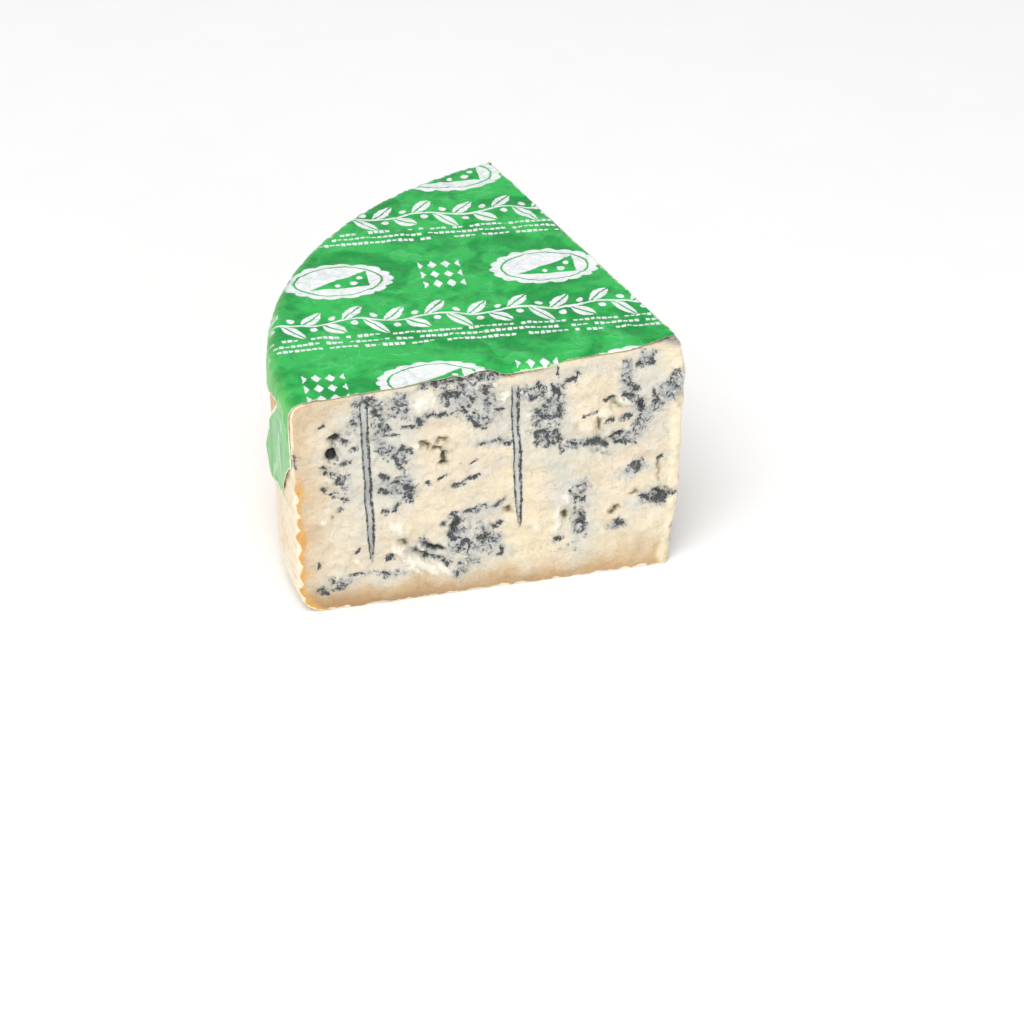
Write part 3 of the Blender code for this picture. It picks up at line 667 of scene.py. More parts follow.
def front_side(settings, ends, z):
    """Cut face along X. Its lift adds crags and lumps and takes away eyes, veins and channels."""
    front_end, tip, tip_start, _, _ = ends
    t = np.linspace(0, 1, COLUMNS[0] + 1)[None, :, None]
    place = front_end[:, None] * (1 - t) + tip_start[:, None] * t
    to_front = unit(front_end - tip)
    out = np.broadcast_to(np.stack((-to_front[:, 1], to_front[:, 0]), -1)[:, None], place.shape)
    along = (place[..., 0] - TIP[0]) / MM
    up = np.broadcast_to(z[:, None] / MM, along.shape)
    from_rim = np.linalg.norm(place - front_end[:, None], axis=-1) / MM
    from_tip = np.linalg.norm(place - tip_start[:, None], axis=-1) / MM
    warp_x = along + 0.9 * lattice_noise(along / 3.1, up / 3.1, 3)
    warp_z = up + 0.9 * lattice_noise(along / 2.7, up / 2.7, 4)
    zone = ovals_field(warp_x, warp_z, ZONES)
    haze = ovals_field(warp_x, warp_z, HAZES)
    vein = strokes_field(warp_x, warp_z, VEINS)
    stain = strokes_field(warp_x, warp_z, STAINS) ** 1.7
    frayed_x = warp_x + 0.7 * lattice_noise(along / 1.6, up / 1.6, 33)
    frayed_z = warp_z + 0.7 * lattice_noise(along / 1.5, up / 1.5, 35)
    eye, lump = eye_fields(frayed_x, frayed_z)
    groove, lining = track_fields(along, up)
    recess = recess_field(along, z[:, None])
    # The recess is also painted dark grey with the mould's zone and half a vein: painted shade under the
    # foil's front edge.
    zone = np.maximum(zone, recess)
    side = Side(place, out, zone=zone, haze=haze, vein=np.maximum(vein, 0.5 * recess), stain=stain,
                lump=lump, eye=eye, track=lining, pale=groove, from_rim=from_rim, from_tip=from_tip)
    lift = cut_relief(settings, along, up, zone, 0) + (lump - eye) * MM
    lift -= (0.45 * vein + TRACK_DEPTH * groove) * MM
    side.lift = lift * calm_edges(from_rim, up) - recess * RECESS_DEPTH
    return side


def calm_edges(from_rim, up):
    """1 within a cut face, easing to 0 at the rim, the base and the top."""
    return smoothstep(0, 4, from_rim) * smoothstep(0, 3, up) * smoothstep(0, 2.5, HEIGHT / MM - up)


def recess_field(along, z):
    """1 under the front edge of the foil where the cheese falls away from it and is painted with shade,
    easing to 0 around.
    """
    ragged = 0.5 * MM * lattice_noise(along / 5.0, along * 0, 11)
    return window(along, *RECESS) * smoothstep(*RECESS_HEIGHT, z + ragged)


def back_side(settings, ends, z):
    """Cut face from the tip to the far end of the rim, with mould of the same kind."""
    _, tip, _, tip_end, back_end = ends
    t = np.linspace(0, 1, COLUMNS[2] + 1)[None, 1:, None]
    place = tip_end[:, None] * (1 - t) + back_end[:, None] * t
    to_back = unit(back_end - tip)
    out = np.broadcast_to(np.stack((to_back[:, 1], -to_back[:, 0]), -1)[:, None], place.shape)
    from_rim = np.linalg.norm(place - back_end[:, None], axis=-1) / MM
    along = -np.linalg.norm(place - tip_end[:, None], axis=-1) / MM
    up = np.broadcast_to(z[:, None] / MM, along.shape)
    zone, haze, vein = back_fields(along, up)
    inner = smoothstep(3, 12, from_rim) * smoothstep(1, 6, up)
    zone, haze, vein = zone * inner, haze * inner, vein * inner
    side = Side(place, out, zone=zone, haze=haze, vein=vein, from_rim=from_rim, from_tip=-along)
    lift = cut_relief(settings, along, up, zone, 50) - 0.5 * MM * vein
    side.lift = lift * calm_edges(from_rim, up) * smoothstep(0, 4, -along)
    return side


def cut_relief(settings, along, up, zone, seed):
    """Soft swells and crags everywhere, upright drag marks, and a rough surface in the mould zones."""
    swell = 1.4 * settings.crag_depth * lattice_noise(along / 15.0, up / 12.0, seed + 5)
    crag = 1.1 * settings.crag_depth * fractal(along / 7.5, up / 6.0, seed + 1, 3)
    drag = settings.drag_depth * lattice_noise(along / 1.9, up / 16.0, seed + 9)
    rough = 0.65 * MM * zone * fractal(along / 2.3, up / 2.0, seed + 13, 2)
    return swell + crag + drag + rough


def tip_side(ends, front, back):
    """Rounded edge between the cuts: a quadratic curve, with fields carried over from its neighbours."""
    _, tip, tip_start, tip_end, _ = ends
    t = np.linspace(0, 1, COLUMNS[1] + 1)[None, 1:, None]
    ends_part = tip_start[:, None] * (1 - t) ** 2 + tip_end[:, None] * t**2
    place = ends_part + 2 * tip[:, None] * t * (1 - t)
    out = unit(front.out[:, -1:] * (1 - t) + back.out[:, :1] * t)
    share = t[..., 0]
    side = Side(place, out)
    side.lift = front.lift[:, -1:] * (1 - share) + back.lift[:, :1] * share
    for name, values in front.fields.items():
        other = back.fields.get(name, np.zeros_like(back.lift))
        side.fields[name] = values[:, -1:] * (1 - share) + other[:, :1] * share
    return side


def rim_side(inset, z):
    """The rind: slat ribs pressed into the wheel's wall, standing a little to both sides of it."""
    start, end = BACK_CUT_ANGLE, front_rim_angle(inset)[:, None]
    t = np.linspace(0, 1, COLUMNS[3] + 1)[None, 1:-1]
    angle = start + (end - start) * t
    place = on_rim(angle, inset[:, None])
    out = np.stack((np.cos(angle), np.sin(angle)), -1)
    lift, rib = rib_lift(angle, np.broadcast_to(z[:, None], angle.shape))
    side = Side(place, out, rind=np.ones(angle.shape), rib=rib, from_rim=np.zeros(angle.shape))
    side.lift = lift
    return side


def rib_lift(angle, z):
    """(lift, rib): rounded ribs of even pitch, worn by noise, to both sides of the true wall."""
    arc = angle * WHEEL_RADIUS / MM
    phase = z / RIB_PITCH + 0.10 * lattice_noise(arc / 21.0, z / MM / 15.0, 23)
    rib = np.abs(np.sin(np.pi * phase))
    worn = 0.6 + 0.4 * lattice_noise(arc / 12.0, z / MM / 9.0, 29)
    rough = 0.14 * MM * fractal(arc / 3.0, z / MM / 3.0, 31, 3)
    bare = smoothstep(HEIGHT - TOP_ROUNDING, HEIGHT - 3 * TOP_ROUNDING, z) * smoothstep(0, 4 * MM, z)
    return bare * (RIB_DEPTH * (rib - 0.7) * worn + rough), 1 - (1 - rib) * worn * bare


def cheese_arrays(settings):
    """Vertices, faces and fields of the whole wedge: the four sides joined round, and two caps."""
    inset, z = profile_rows()
    front_end = on_rim(front_rim_angle(inset), inset)
    back_end = on_rim(np.full_like(inset, BACK_CUT_ANGLE), inset)
    tip = tip_at(z)
    tip_start = tip + unit(front_end - tip) * TIP_ROUNDING
    tip_end = tip + unit(back_end - tip) * TIP_ROUNDING
    ends = (front_end, tip, tip_start, tip_end, back_end)

    front = front_side(settings, ends, z)
    back = back_side(settings, ends, z)
    sides = (front, tip_side(ends, front, back), back, rim_side(inset, z))
    place = np.concatenate([side.place + side.out * side.lift[..., None] for side in sides], 1)
    fields = {}
    for name, blank in FIELDS.items():
        parts = [side.fields.get(name, np.full(side.lift.shape, blank)) for side in sides]
        fields[name] = np.concatenate(parts, 1)

    rows, columns = place.shape[:2]
    height = np.broadcast_to(z[:, None], (rows, columns))
    lift = smoothstep(HEIGHT - 3 * TIP_DROP, HEIGHT, height)
    height = height - lift * tip_drop(place)
    walls = np.concatenate((place, height[..., None]), -1).reshape(-1, 3)
    index = np.arange(rows * columns).reshape(rows, columns)
    quads = quad_faces(index, closed=True)

    points, faces = [walls], [quads]
    values = {name: [grid.reshape(-1)] for name, grid in fields.items()}
    start = len(walls)
    for ring, level, flipped in ((0, 0.0, True), (-1, HEIGHT, False)):
        cap, cap_faces = cap_arrays(place[ring], level, index[ring], start, flipped)
        points.append(cap)
        faces += cap_faces
        start += len(cap)
        fills = {"rind": 1.0} if flipped else {"from_rim": 60.0, "haze": 0.8, "zone": 0.35}
        for name, blank in FIELDS.items():
            values[name].append(np.full(len(cap), fills.get(name, blank)))
    return np.concatenate(points), faces, {name: np.concatenate(v) for name, v in values.items()}


def tip_drop(place):
    """The worn corner of the tip sinks a little below the top, as a bell round the tip."""
    away = np.linalg.norm(place - TIP, axis=-1) / TIP_DROP_REACH
    return TIP_DROP * np.exp(-(away**2))


def quad_faces(index, closed):
    """Four-cornered faces between neighbouring rows and columns of a grid of vertex numbers."""
    if closed:
        index = np.concatenate((index, index[:, :1]), 1)
    return np.stack((index[:-1, :-1], index[:-1, 1:], index[1:, 1:], index[1:, :-1]), -1).reshape(-1, 4)


def cap_arrays(outline, level, outline_index, start, flipped):
    """Rings of the outline drawn in towards its middle, closed by a fan of triangles."""
    middle = outline.mean(0)
    shares = np.arange(1, CAP_RINGS + 1)[:, None, None] / (CAP_RINGS + 1)
    rings = outline[None] * (1 - shares) + middle * shares
    heights = level - (0 if flipped else 1) * tip_drop(rings)
    points = np.concatenate((rings, np.broadcast_to(heights, rings.shape[:2])[..., None]), -1)
    points = np.concatenate((points.reshape(-1, 3), [[*middle, level]]))
    count = len(outline)
    index = np.arange(CAP_RINGS * count).reshape(CAP_RINGS, count) + start
    index = np.concatenate((outline_index[None], index))
    quads = quad_faces(index, closed=True)
    last = index[-1]
    fan = np.stack((last, np.roll(last, -1), np.full(count, start + CAP_RINGS * count)), -1)
    if flipped:
        quads, fan = quads[:, ::-1], fan[:, ::-1]
    return points, [quads, fan]


def skirt_length(along):
    """How far the foil hangs down the rim, by the distance along the rim from the front cut.

    The tongue is a power curve out to its shoulder, plus a sag and less a rise that ease in, and the
    hem beyond it eases from short to long; both are made ragged by noise.
    """
    share = np.minimum(along / TONGUE_SHOULDER, 1.0) ** TONGUE_EDGE_POWER
    sag = (TONGUE_LONG_SIDE - TONGUE_CORNER) * smoothstep(*TONGUE_SAG, along)
    rise = TONGUE_END_RISE * smoothstep(TONGUE_END, TONGUE_WIDTH, along)
    tongue = TONGUE_SHORT_SIDE + (TONGUE_CORNER - TONGUE_SHORT_SIDE) * share + sag - rise
    tongue = tongue + 0.5 * MM * lattice_noise(along / (0.9 * MM), along * 0, 61)
    growth = smoothstep(HEM_START, HEM_START + HEM_GROWTH, along)
    ragged = hem_waves(along) + 0.25 * MM * lattice_noise(along / (1.5 * MM), along * 0, 67)
    hem = HEM_SHORT + (HEM_LONG - HEM_SHORT + ragged) * growth
    return np.where(along <= TONGUE_WIDTH, tongue, hem)


def hem_waves(along):
    """Raggedness of the foil's hem: noises of three lengths added up."""
    x = along / MM
    return sum(high * lattice_noise(x / long, x * 0, seed) for long, high, seed in HEM_SWINGS) * MM


def skirt_sweep(along, down):
    """How far the skirt has moved away from the front cut by hanging aslant: a share of its drop."""
    tongue = TONGUE_SWEEP * along / TONGUE_WIDTH
    hem = TONGUE_SWEEP * smoothstep(SWEEP_END, TONGUE_WIDTH, along)
    return np.where(along <= TONGUE_WIDTH, tongue, hem) * np.maximum(0.0, down - SWEEP_START)


def skirt_fold(along, down):
    """Folds that stand off the wall, more so lower down, and the tongue's bulge above its hem.

    A cosine along the rim with noise, eased in downwards, plus a bulge that eases in both ways.
    """
    wave = 0.5 + 0.5 * np.cos(2 * np.pi * along / FOLD_SPACING)
    fine = 0.3 * MM * lattice_noise(along / (4.5 * MM), down / (14 * MM), 73)
    bulge = smoothstep(BULGE_START[0], BULGE_FULL[0], along)
    bulge = bulge * smoothstep(BULGE_START[1], BULGE_FULL[1], down)
    tucked = 1 - TUCK_SHARE * smoothstep(TONGUE_LONG_SIDE - TUCK_REACH, TONGUE_LONG_SIDE, down)
    clear = RIB_CLEARANCE * smoothstep(0, 6 * MM, down) * smoothstep(-1 * MM, 3 * MM, along)
    fold = (FOLD_HEIGHT * wave + fine) * smoothstep(2 * MM, 22 * MM, down)
    fold = fold * smoothstep(0, 9 * MM, along)
    return fold + TONGUE_BULGE * bulge * tucked + clear


def foil_stations():
    """Distances along the rim at which the foil's columns start, finer on the tongue."""
    whole = WHEEL_RADIUS * (front_rim_angle(0.0) - BACK_CUT_ANGLE) - 2 * FOIL_EDGE_INSET
    tongue = np.linspace(0, TONGUE_WIDTH, FOIL_COLUMNS[0] + 1)
    hem = np.linspace(HEM_START, whole, FOIL_COLUMNS[1] + 1)
    return np.concatenate((tongue, hem))[:, None], whole


def foil_top(settings, along, whole, edge):
    """The part on the flat top: straight lines from near the tip out to the rim, with its relief."""
    share = along[..., None] / whole
    start = TIP + FOIL_FRONT_CORNER * (1 - share) + FOIL_BACK_CORNER * share
    t = np.linspace(0, 1, FOIL_ROWS[0] + 1)[None, :, None]
    flat = start * (1 - t) + edge * t
    reach = np.linalg.norm(edge - flat, axis=-1)
    near_front = flat[..., 1] - TIP[1] - FOIL_FRONT_CORNER[1]
    back = unit(edge[-1, 0] - start[-1, 0])
    off = flat - start[-1, 0]
    near_back = np.maximum(back[0] * off[..., 1] - back[1] * off[..., 0], off[..., 1] * 0)
    place = pull_back_edges(flat, near_front, near_back)
    lift = top_wrinkle(settings, flat) * smoothstep(1.0, 0.94, t[..., 0])
    lift = lift + pleats(along, reach) + edge_lift(flat, near_front)
    points = np.concatenate((place, (HEIGHT + lift)[..., None]), -1)
    normals = np.broadcast_to((0.0, 0.0, 1.0), points.shape)
    from_edge = np.minimum(near_front, near_back)
    return points, normals, flat, from_edge


def foil_shoulder(along, angle, edge):
    """The part over the rounded shoulder: a quarter circle with pleats."""
    turn = np.linspace(np.pi / 2, 0, FOIL_ROWS[1] + 1)[None, 1:]
    outward = np.stack((np.cos(angle), np.sin(angle)), -1)
    radius = TOP_ROUNDING + pleats(along, 0.0)
    inset = TOP_ROUNDING - radius * np.cos(turn)
    height = HEIGHT - TOP_ROUNDING + radius * np.sin(turn)
    place = on_rim(angle + 0 * turn, inset)
    points = np.concatenate((place, height[..., None]), -1)
    normals = np.stack(
        (np.cos(angle) * np.cos(turn), np.sin(angle) * np.cos(turn), np.sin(turn) + 0 * angle), -1
    )
    flat = edge + outward * (TOP_ROUNDING * (np.pi / 2 - turn))[..., None]
    side = np.broadcast_to(smoothstep(np.pi / 2, 0, turn), place.shape[:2])
    return points, normals, flat, np.broadcast_to(along, place.shape[:2]), side


def foil_skirt(along, first_angle, whole):
    """The part that hangs down the wall, swept away from the front cut, with folds, a hem, and a band
    down the tongue for a painted highlight.
    """
    t = np.linspace(0, 1, FOIL_ROWS[2] + 1)[None, 1:]
    length = skirt_length(along)
    down = t * length
    swept = along + skirt_sweep(along, down)
    hang = first_angle - swept / WHEEL_RADIUS
    z = HEIGHT - TOP_ROUNDING - down
    stand = skirt_fold(swept, down) + pleats(along, 0.0) * smoothstep(16 * MM, 0, down)
    place = on_rim(hang, wall_inset(z) - stand)
    points = np.concatenate((place, z[..., None]), -1)
    normals = np.stack((np.cos(hang), np.sin(hang), 0 * hang), -1)
    reach = (TOP_ROUNDING * np.pi / 2 + down)[..., None]
    flat = on_rim(hang, TOP_ROUNDING) + normals[..., :2] * reach
    fan = 1 + TONGUE_SWEEP / TONGUE_WIDTH * np.maximum(0.0, down - SWEEP_START)
    notch = np.where(along <= TONGUE_WIDTH, TONGUE_WIDTH - along, along - HEM_START) * fan
    notch = np.where(down > SWEEP_START, notch, np.inf)
    from_edge = np.minimum(np.minimum(along * fan, length - down), np.minimum(notch, whole - along))
    # A band down the middle of the tongue for a painted highlight along its fold.
    middle = 0.46 + 0.07 * lattice_noise(down / (11 * MM), down * 0, 91)
    tongue_highlight = np.exp(-(((along / TONGUE_WIDTH - middle) / 0.055) ** 2)) * smoothstep(3 * MM, 9 * MM, down)
    return points, normals, flat, from_edge, down, tongue_highlight


def foil_arrays(settings):
    """Vertices, faces, flat sheet places and fields of the foil, a thin closed shell.

    Each column starts at the tip's end, crosses the top to the rim, turns over the rounded
    shoulder and hangs down the wall. The outer layer lies one thickness outside the inner one.
    """
    along, whole = foil_stations()
    first_angle = front_rim_angle(0.0) - FOIL_EDGE_INSET / WHEEL_RADIUS
    angle = first_angle - along / WHEEL_RADIUS
    edge = on_rim(angle, TOP_ROUNDING)
    top = foil_top(settings, along, whole, edge)
    shoulder = foil_shoulder(along, angle, edge)
    skirt = foil_skirt(along, first_angle, whole)

    points = np.concatenate((top[0], shoulder[0], skirt[0]), 1)
    normals = np.concatenate((top[1], shoulder[1], skirt[1]), 1)
    sheet = np.concatenate((top[2], shoulder[2], skirt[2]), 1) - TIP
    from_edge = np.concatenate((top[3], np.minimum(shoulder[3], whole - along), skirt[3]), 1) / MM
    blank = np.zeros(top[3].shape)
    side = np.concatenate((blank, shoulder[4], np.ones(skirt[3].shape)), 1)
    hang = np.concatenate((blank, 0 * shoulder[4], skirt[4] / MM), 1)
    tongue_highlight = np.concatenate((blank, 0 * shoulder[4], skirt[5]), 1)

    columns, rows = points.shape[:2]
    index = np.arange(columns * rows).reshape(columns, rows)
    border = np.concatenate((index[:-1, 0], index[-1, :-1], index[:0:-1, -1], index[0, :0:-1]))
    after = np.roll(border, -1)
    size = columns * rows
    faces = [
        quad_faces(index, closed=False),
        quad_faces(index + size, closed=False)[:, ::-1],
        np.stack((border, after, after + size, border + size), -1),
    ]
    inner = points + normals * FOIL_GAP
    outer = points + normals * (FOIL_GAP + settings.thickness)
    vertices = np.concatenate((inner.reshape(-1, 3), outer.reshape(-1, 3)))
    flat = np.concatenate((sheet.reshape(-1, 2), sheet.reshape(-1, 2)))
    fields = {
        "side": np.tile(side.reshape(-1), 2),
        "backing": np.repeat((1.0, 0.0), size),
        "from_edge": np.tile(from_edge.reshape(-1), 2),
        "hang": np.tile(hang.reshape(-1), 2),
        "tongue_highlight": np.tile(tongue_highlight.reshape(-1), 2),
    }
    return vertices, faces, flat, fields


def top_wrinkle(settings, place):
    """Creases on the flat top, never below it: broad dents, ridged noise and single long creases."""
    x, y = (place[..., 0] - TIP[0]) / MM, (place[..., 1] - TIP[1]) / MM
    broad = 0.5 + 0.5 * lattice_noise(x / 26.0, y / 21.0, 7)
    ridge = 1 - np.abs(lattice_noise(x / 17.0 + y / 40.0, y / 11.0, 19))
    hollow = np.abs(lattice_noise(x / 13.0, y / 19.0 + x / 60.0, 27))
    lift = settings.wrinkle * (0.9 * broad + 0.8 * ridge**8 + 0.9 * hollow)
    bend_x = x + 1.5 * lattice_noise(x / 9.0, y / 9.0, 47)
    for x0, y0, x1, y1, half_width, height in CREASES:
        away = distance_to_stroke(bend_x, y, (x0, y0, x1, y1)) / half_width
        lift = lift + settings.wrinkle * height * np.exp(-np.abs(away) ** 1.3)
    return lift


def pleats(along, reach):
    """Small radial tucks where the foil turns over the rim, fading within the top."""
    wave = lattice_noise(along / (5.5 * MM), along * 0, 53)
    height = 0.45 * MM * (1 - np.abs(wave)) ** 5
    return height * smoothstep(13 * MM, 0, reach)


def edge_lift(flat, near_front):
    """The front edge lifts where it has come loose and droops into the recess beside that."""
    x = (flat[..., 0] - TIP[0]) / MM
    loose, droop = window(x, *EDGE_LOOSE), window(x, *EDGE_DROOP)
    reach = np.exp(-np.maximum(near_front, 0) / (1.6 * MM))
    steep = np.exp(-((np.maximum(near_front, 0) / (1.1 * MM)) ** 2))
    return (0.9 * loose * reach - 1.25 * droop * steep) * MM


def pull_back_edges(flat, near_front, near_back):
    """The cut edges of the foil wander by up to a few millimetres, fading within the sheet."""
    x = (flat[..., 0] - TIP[0]) / MM
    middle, half_width = EDGE_NOTCH
    gap = 2.4 * np.exp(-(((x - middle) / half_width) ** 2))
    gap = gap + 0.3 * (1 + lattice_noise(x / 7.0, x * 0, 37))
    gap = gap + 0.25 * lattice_noise(x / 1.9, x * 0, 39)
    gap = gap - 0.9 * window(x, *EDGE_DROOP)
    place = flat.copy()
    place[..., 1] += gap * MM * np.exp(-np.maximum(near_front, 0) / (7 * MM))
    y = (flat[..., 1] - TIP[1]) / MM
    gap = 0.45 * (1 + lattice_noise(y / 9.0, y * 0, 43)) * smoothstep(0, 10, y)
    place[..., 0] -= gap * MM * np.exp(-near_back / (7 * MM))
    return place


def add_piece(name, points, faces, material, fields):
    """Puts arrays into a mesh object with smooth shading and one float attribute per field."""
    mesh = bpy.data.meshes.new(name)
    loops = np.concatenate([block.reshape(-1) for block in faces]).astype(np.int32)
    sizes = np.concatenate([np.full(len(block), block.shape[1]) for block in faces]).astype(np.int32)
    mesh.vertices.add(len(points))
    mesh.vertices.foreach_set("co", points.astype(np.float32).reshape(-1))
    mesh.loops.add(len(loops))
    mesh.loops.foreach_set("vertex_index", loops)
    mesh.polygons.add(len(sizes))
    mesh.polygons.foreach_set("loop_start", (np.cumsum(sizes) - sizes).astype(np.int32))
    mesh.update(calc_edges=True)
    if mesh.validate():
        raise RuntimeError(f"{name} has a face that Blender had to mend")
    for key, values in fields.items():
        attribute = mesh.attributes.new(key, "FLOAT", "POINT")
        attribute.data.foreach_set("value", values.astype(np.float32))
    mesh.materials.append(material)
    mesh.shade_smooth()
    piece = bpy.data.objects.new(name, mesh)
    bpy.context.scene.collection.objects.link(piece)
    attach(piece, "root")
    return piece


class Wire:
    """A socket of a node tree with the usual signs, so that a material's formulas read as sums."""

    def __init__(self, tree, socket):
        self.tree = tree
        self.socket = socket

    def math(self, operation, *others):
        """A Math node of this wire and other wires or numbers."""
        node = self.tree.nodes.new("ShaderNodeMath")
        node.operation = operation
        for k, value in enumerate((self, *others)):
            plug(self.tree, value, node.inputs[k])
        return Wire(self.tree, node.outputs[0])

    def __add__(self, other):
        return self.math("ADD", other)

    def __sub__(self, other):
        return self.math("SUBTRACT", other)

    def __mul__(self, other):
        return self.math("MULTIPLY", other)

    def __truediv__(self, other):
        return self.math("DIVIDE", other)

    def away(self, other):
        """Distance between two numbers."""
        return (self - other).math("ABSOLUTE")

    def least(self, other):
        """The smaller of the two."""
        return self.math("MINIMUM", other)

    def most(self, other):
        """The larger of the two."""
        return self.math("MAXIMUM", other)

    def inverse(self):
        """One minus this."""
        return (self * -1.0) + 1.0

    def ease(self, low, high):
        """Smooth step from 0 at low to 1 at high."""
        node = self.tree.nodes.new("ShaderNodeMapRange")
        node.interpolation_type = "SMOOTHSTEP"
        plug(self.tree, self, node.inputs["Value"])
        plug(self.tree, low, node.inputs["From Min"])
        plug(self.tree, high, node.inputs["From Max"])
        return Wire(self.tree, node.outputs["Result"])

    def spread(self):
        """Fractal noise, which gathers round its mean, drawn out to the whole of 0 to 1."""
        return self.ease(0.3, 0.7)

    def inside(self, soft):
        """1 where this distance is above nought, with an edge of the given softness."""
        return (self / soft + 0.5).math("MINIMUM", 1.0).math("MAXIMUM", 0.0)


def plug(tree, value, socket):
    """Links a wire to a socket, or sets the socket to a plain value."""
    if isinstance(value, Wire):
        tree.links.new(value.socket, socket)
    else:
        socket.default_value = value


# Places of the colour sockets of a Mix node, whose labels repeat for every data type
COLOUR_A, COLOUR_B, COLOUR_RESULT = 6, 7, 2


def mixed(tree, factor, first, second):
    """Colour mix of two colours or colour wires."""
    node = tree.nodes.new("ShaderNodeMix")
    node.data_type = "RGBA"
    plug(tree, factor, node.inputs["Factor"])
    plug(tree, first, node.inputs[COLOUR_A])
    plug(tree, second, node.inputs[COLOUR_B])
    return Wire(tree, node.outputs[COLOUR_RESULT])


def layered(tree, colour, layers):
    """A colour with others laid over it in turn, each by its own mask."""
    for mask, over in layers:
        colour = mixed(tree, mask, colour, over)
    return colour


def noise_wire(tree, vector, scale, detail=2.0, roughness=0.5, distortion=0.0):
    """Fractal noise from 0 to 1 at so many waves a metre."""
    node = tree.nodes.new("ShaderNodeTexNoise")
    plug(tree, vector, node.inputs["Vector"])
    plug(tree, scale, node.inputs["Scale"])
    plug(tree, detail, node.inputs["Detail"])
    plug(tree, roughness, node.inputs["Roughness"])
    plug(tree, distortion, node.inputs["Distortion"])
    return Wire(tree, node.outputs["Fac"])


def stretched(tree, vector, stretch):
    """The vector with each part multiplied, to draw a pattern out along one way."""
    node = tree.nodes.new("ShaderNodeVectorMath")
    node.operation = "MULTIPLY"
    plug(tree, vector, node.inputs[0])
    plug(tree, stretch, node.inputs[1])
    return Wire(tree, node.outputs[0])


def field_wire(tree, name):
    """A float attribute of the mesh."""
    node = tree.nodes.new("ShaderNodeAttribute")
    node.attribute_name = name
    return Wire(tree, node.outputs["Fac"])


def object_place(tree):
    """Place in the object's own frame, in metres."""
    return Wire(tree, tree.nodes.new("ShaderNodeTexCoord").outputs["Object"])


def new_group(name, inputs, outputs):
    """A shader group with named sockets; returns its tree, input wires and output node."""
    tree = bpy.data.node_groups.new(name, "ShaderNodeTree")
    for label, kind, default in inputs:
        socket = tree.interface.new_socket(label, in_out="INPUT", socket_type=kind)
        if default is not None:
            socket.default_value = default
    for label, kind in outputs:
        tree.interface.new_socket(label, in_out="OUTPUT", socket_type=kind)
    entry = tree.nodes.new("NodeGroupInput")
    leave = tree.nodes.new("NodeGroupOutput")
    wires = {label: Wire(tree, entry.outputs[label]) for label, _, _ in inputs}
    return tree, wires, leave


def use_group(tree, group, **values):
    """Adds a group to a material and returns its outputs as wires by name."""
    node = tree.nodes.new("ShaderNodeGroup")
    node.node_tree = group
    for label, value in values.items():
        plug(tree, value, node.inputs[label.replace("_", " ")])
    return {socket.name: Wire(tree, socket) for socket in node.outputs}


FLOAT = "NodeSocketFloat"
VECTOR = "NodeSocketVector"


def mould_group():
    """Granular mould: specks and curls packed by the zone's strength, and single dark veins.

    Blobs, ridges and grain are added up, and a threshold that falls as the zone grows picks the
    dark parts; the bloom between them follows the zone with patches.
    """
    tree, wires, leave = new_group(
        "mould",
        (("Place", VECTOR, None), ("Zone", FLOAT, 0.0), ("Vein", FLOAT, 0.0)),
        (("Dark", FLOAT), ("Bloom", FLOAT), ("White", FLOAT)),
    )
    place, zone, vein = wires["Place"], wires["Zone"], wires["Vein"]
    blobs = noise_wire(tree, place, 480.0, 3.0, 0.55, 0.4).spread()
    ridge = noise_wire(tree, place, 300.0, 2.0, 0.5, 1.5).away(0.5)
    curls = ridge.ease(0.11, 0.02)
    grain = noise_wire(tree, place, 1300.0, 3.0, 0.7).spread()
    patches = noise_wire(tree, place, 120.0, 2.0, 0.5).spread()
    body = blobs * 0.58 + curls * 0.4 + (grain - 0.5) * 0.3
    strength = zone.ease(0.15, 0.9) * (patches * 0.45 + 0.55)
    specks = (body + strength * 0.55 - 1.0).ease(-0.06, 0.48)
    broken = ((grain - 0.5) * 1.1 + (blobs - 0.5) * 0.9) * vein.ease(0.0, 0.4)
    strokes = (vein * 1.25 + broken).ease(0.5, 1.2)
    plug(tree, specks.most(strokes), leave.inputs["Dark"])
    flakes = ridge.ease(0.10, 0.17) * (grain * 0.5 + patches * 0.7).ease(0.35, 0.8)
    plug(tree, flakes * zone.ease(0.1, 0.6), leave.inputs["White"])
    cloud = (zone + (patches - 0.5) * 0.6 + (blobs - 0.5) * 0.4 + (grain - 0.5) * 0.2).ease(0.2, 1.1)
    halo = (vein + (grain - 0.5) * 0.35).ease(0.05, 0.6) * 0.75
    plug(tree, cloud.most(halo), leave.inputs["Bloom"])
    return tree


def paste_group():
    """Soft clouds of two sizes, small pale flecks, and grain with upright knife marks for the bump."""
    tree, wires, leave = new_group(
        "paste tone",
        (("Place", VECTOR, None),),
        (("Tone", FLOAT), ("Butter", FLOAT), ("Fleck", FLOAT), ("Grain", FLOAT)),
    )
    place = wires["Place"]
    clouds = noise_wire(tree, place, 60.0, 3.0, 0.55, 0.3).spread()
    butter = noise_wire(tree, place, 34.0, 3.0, 0.5, 0.4).spread()
    mottle = noise_wire(tree, place, 200.0, 4.0, 0.6, 0.2).spread()
    drag = noise_wire(tree, stretched(tree, place, (1.0, 1.0, 0.15)), 420.0, 2.0, 0.5)
    fine = noise_wire(tree, place, 1100.0, 3.0, 0.6)
    plug(tree, clouds * 0.55 + mottle * 0.45, leave.inputs["Tone"])
    plug(tree, butter, leave.inputs["Butter"])
    plug(tree, (mottle * 0.7 + fine * 0.5).ease(0.6, 1.1), leave.inputs["Fleck"])
    plug(tree, drag * 0.3 + fine * 0.2 + mottle * 0.6, leave.inputs["Grain"])
    return tree


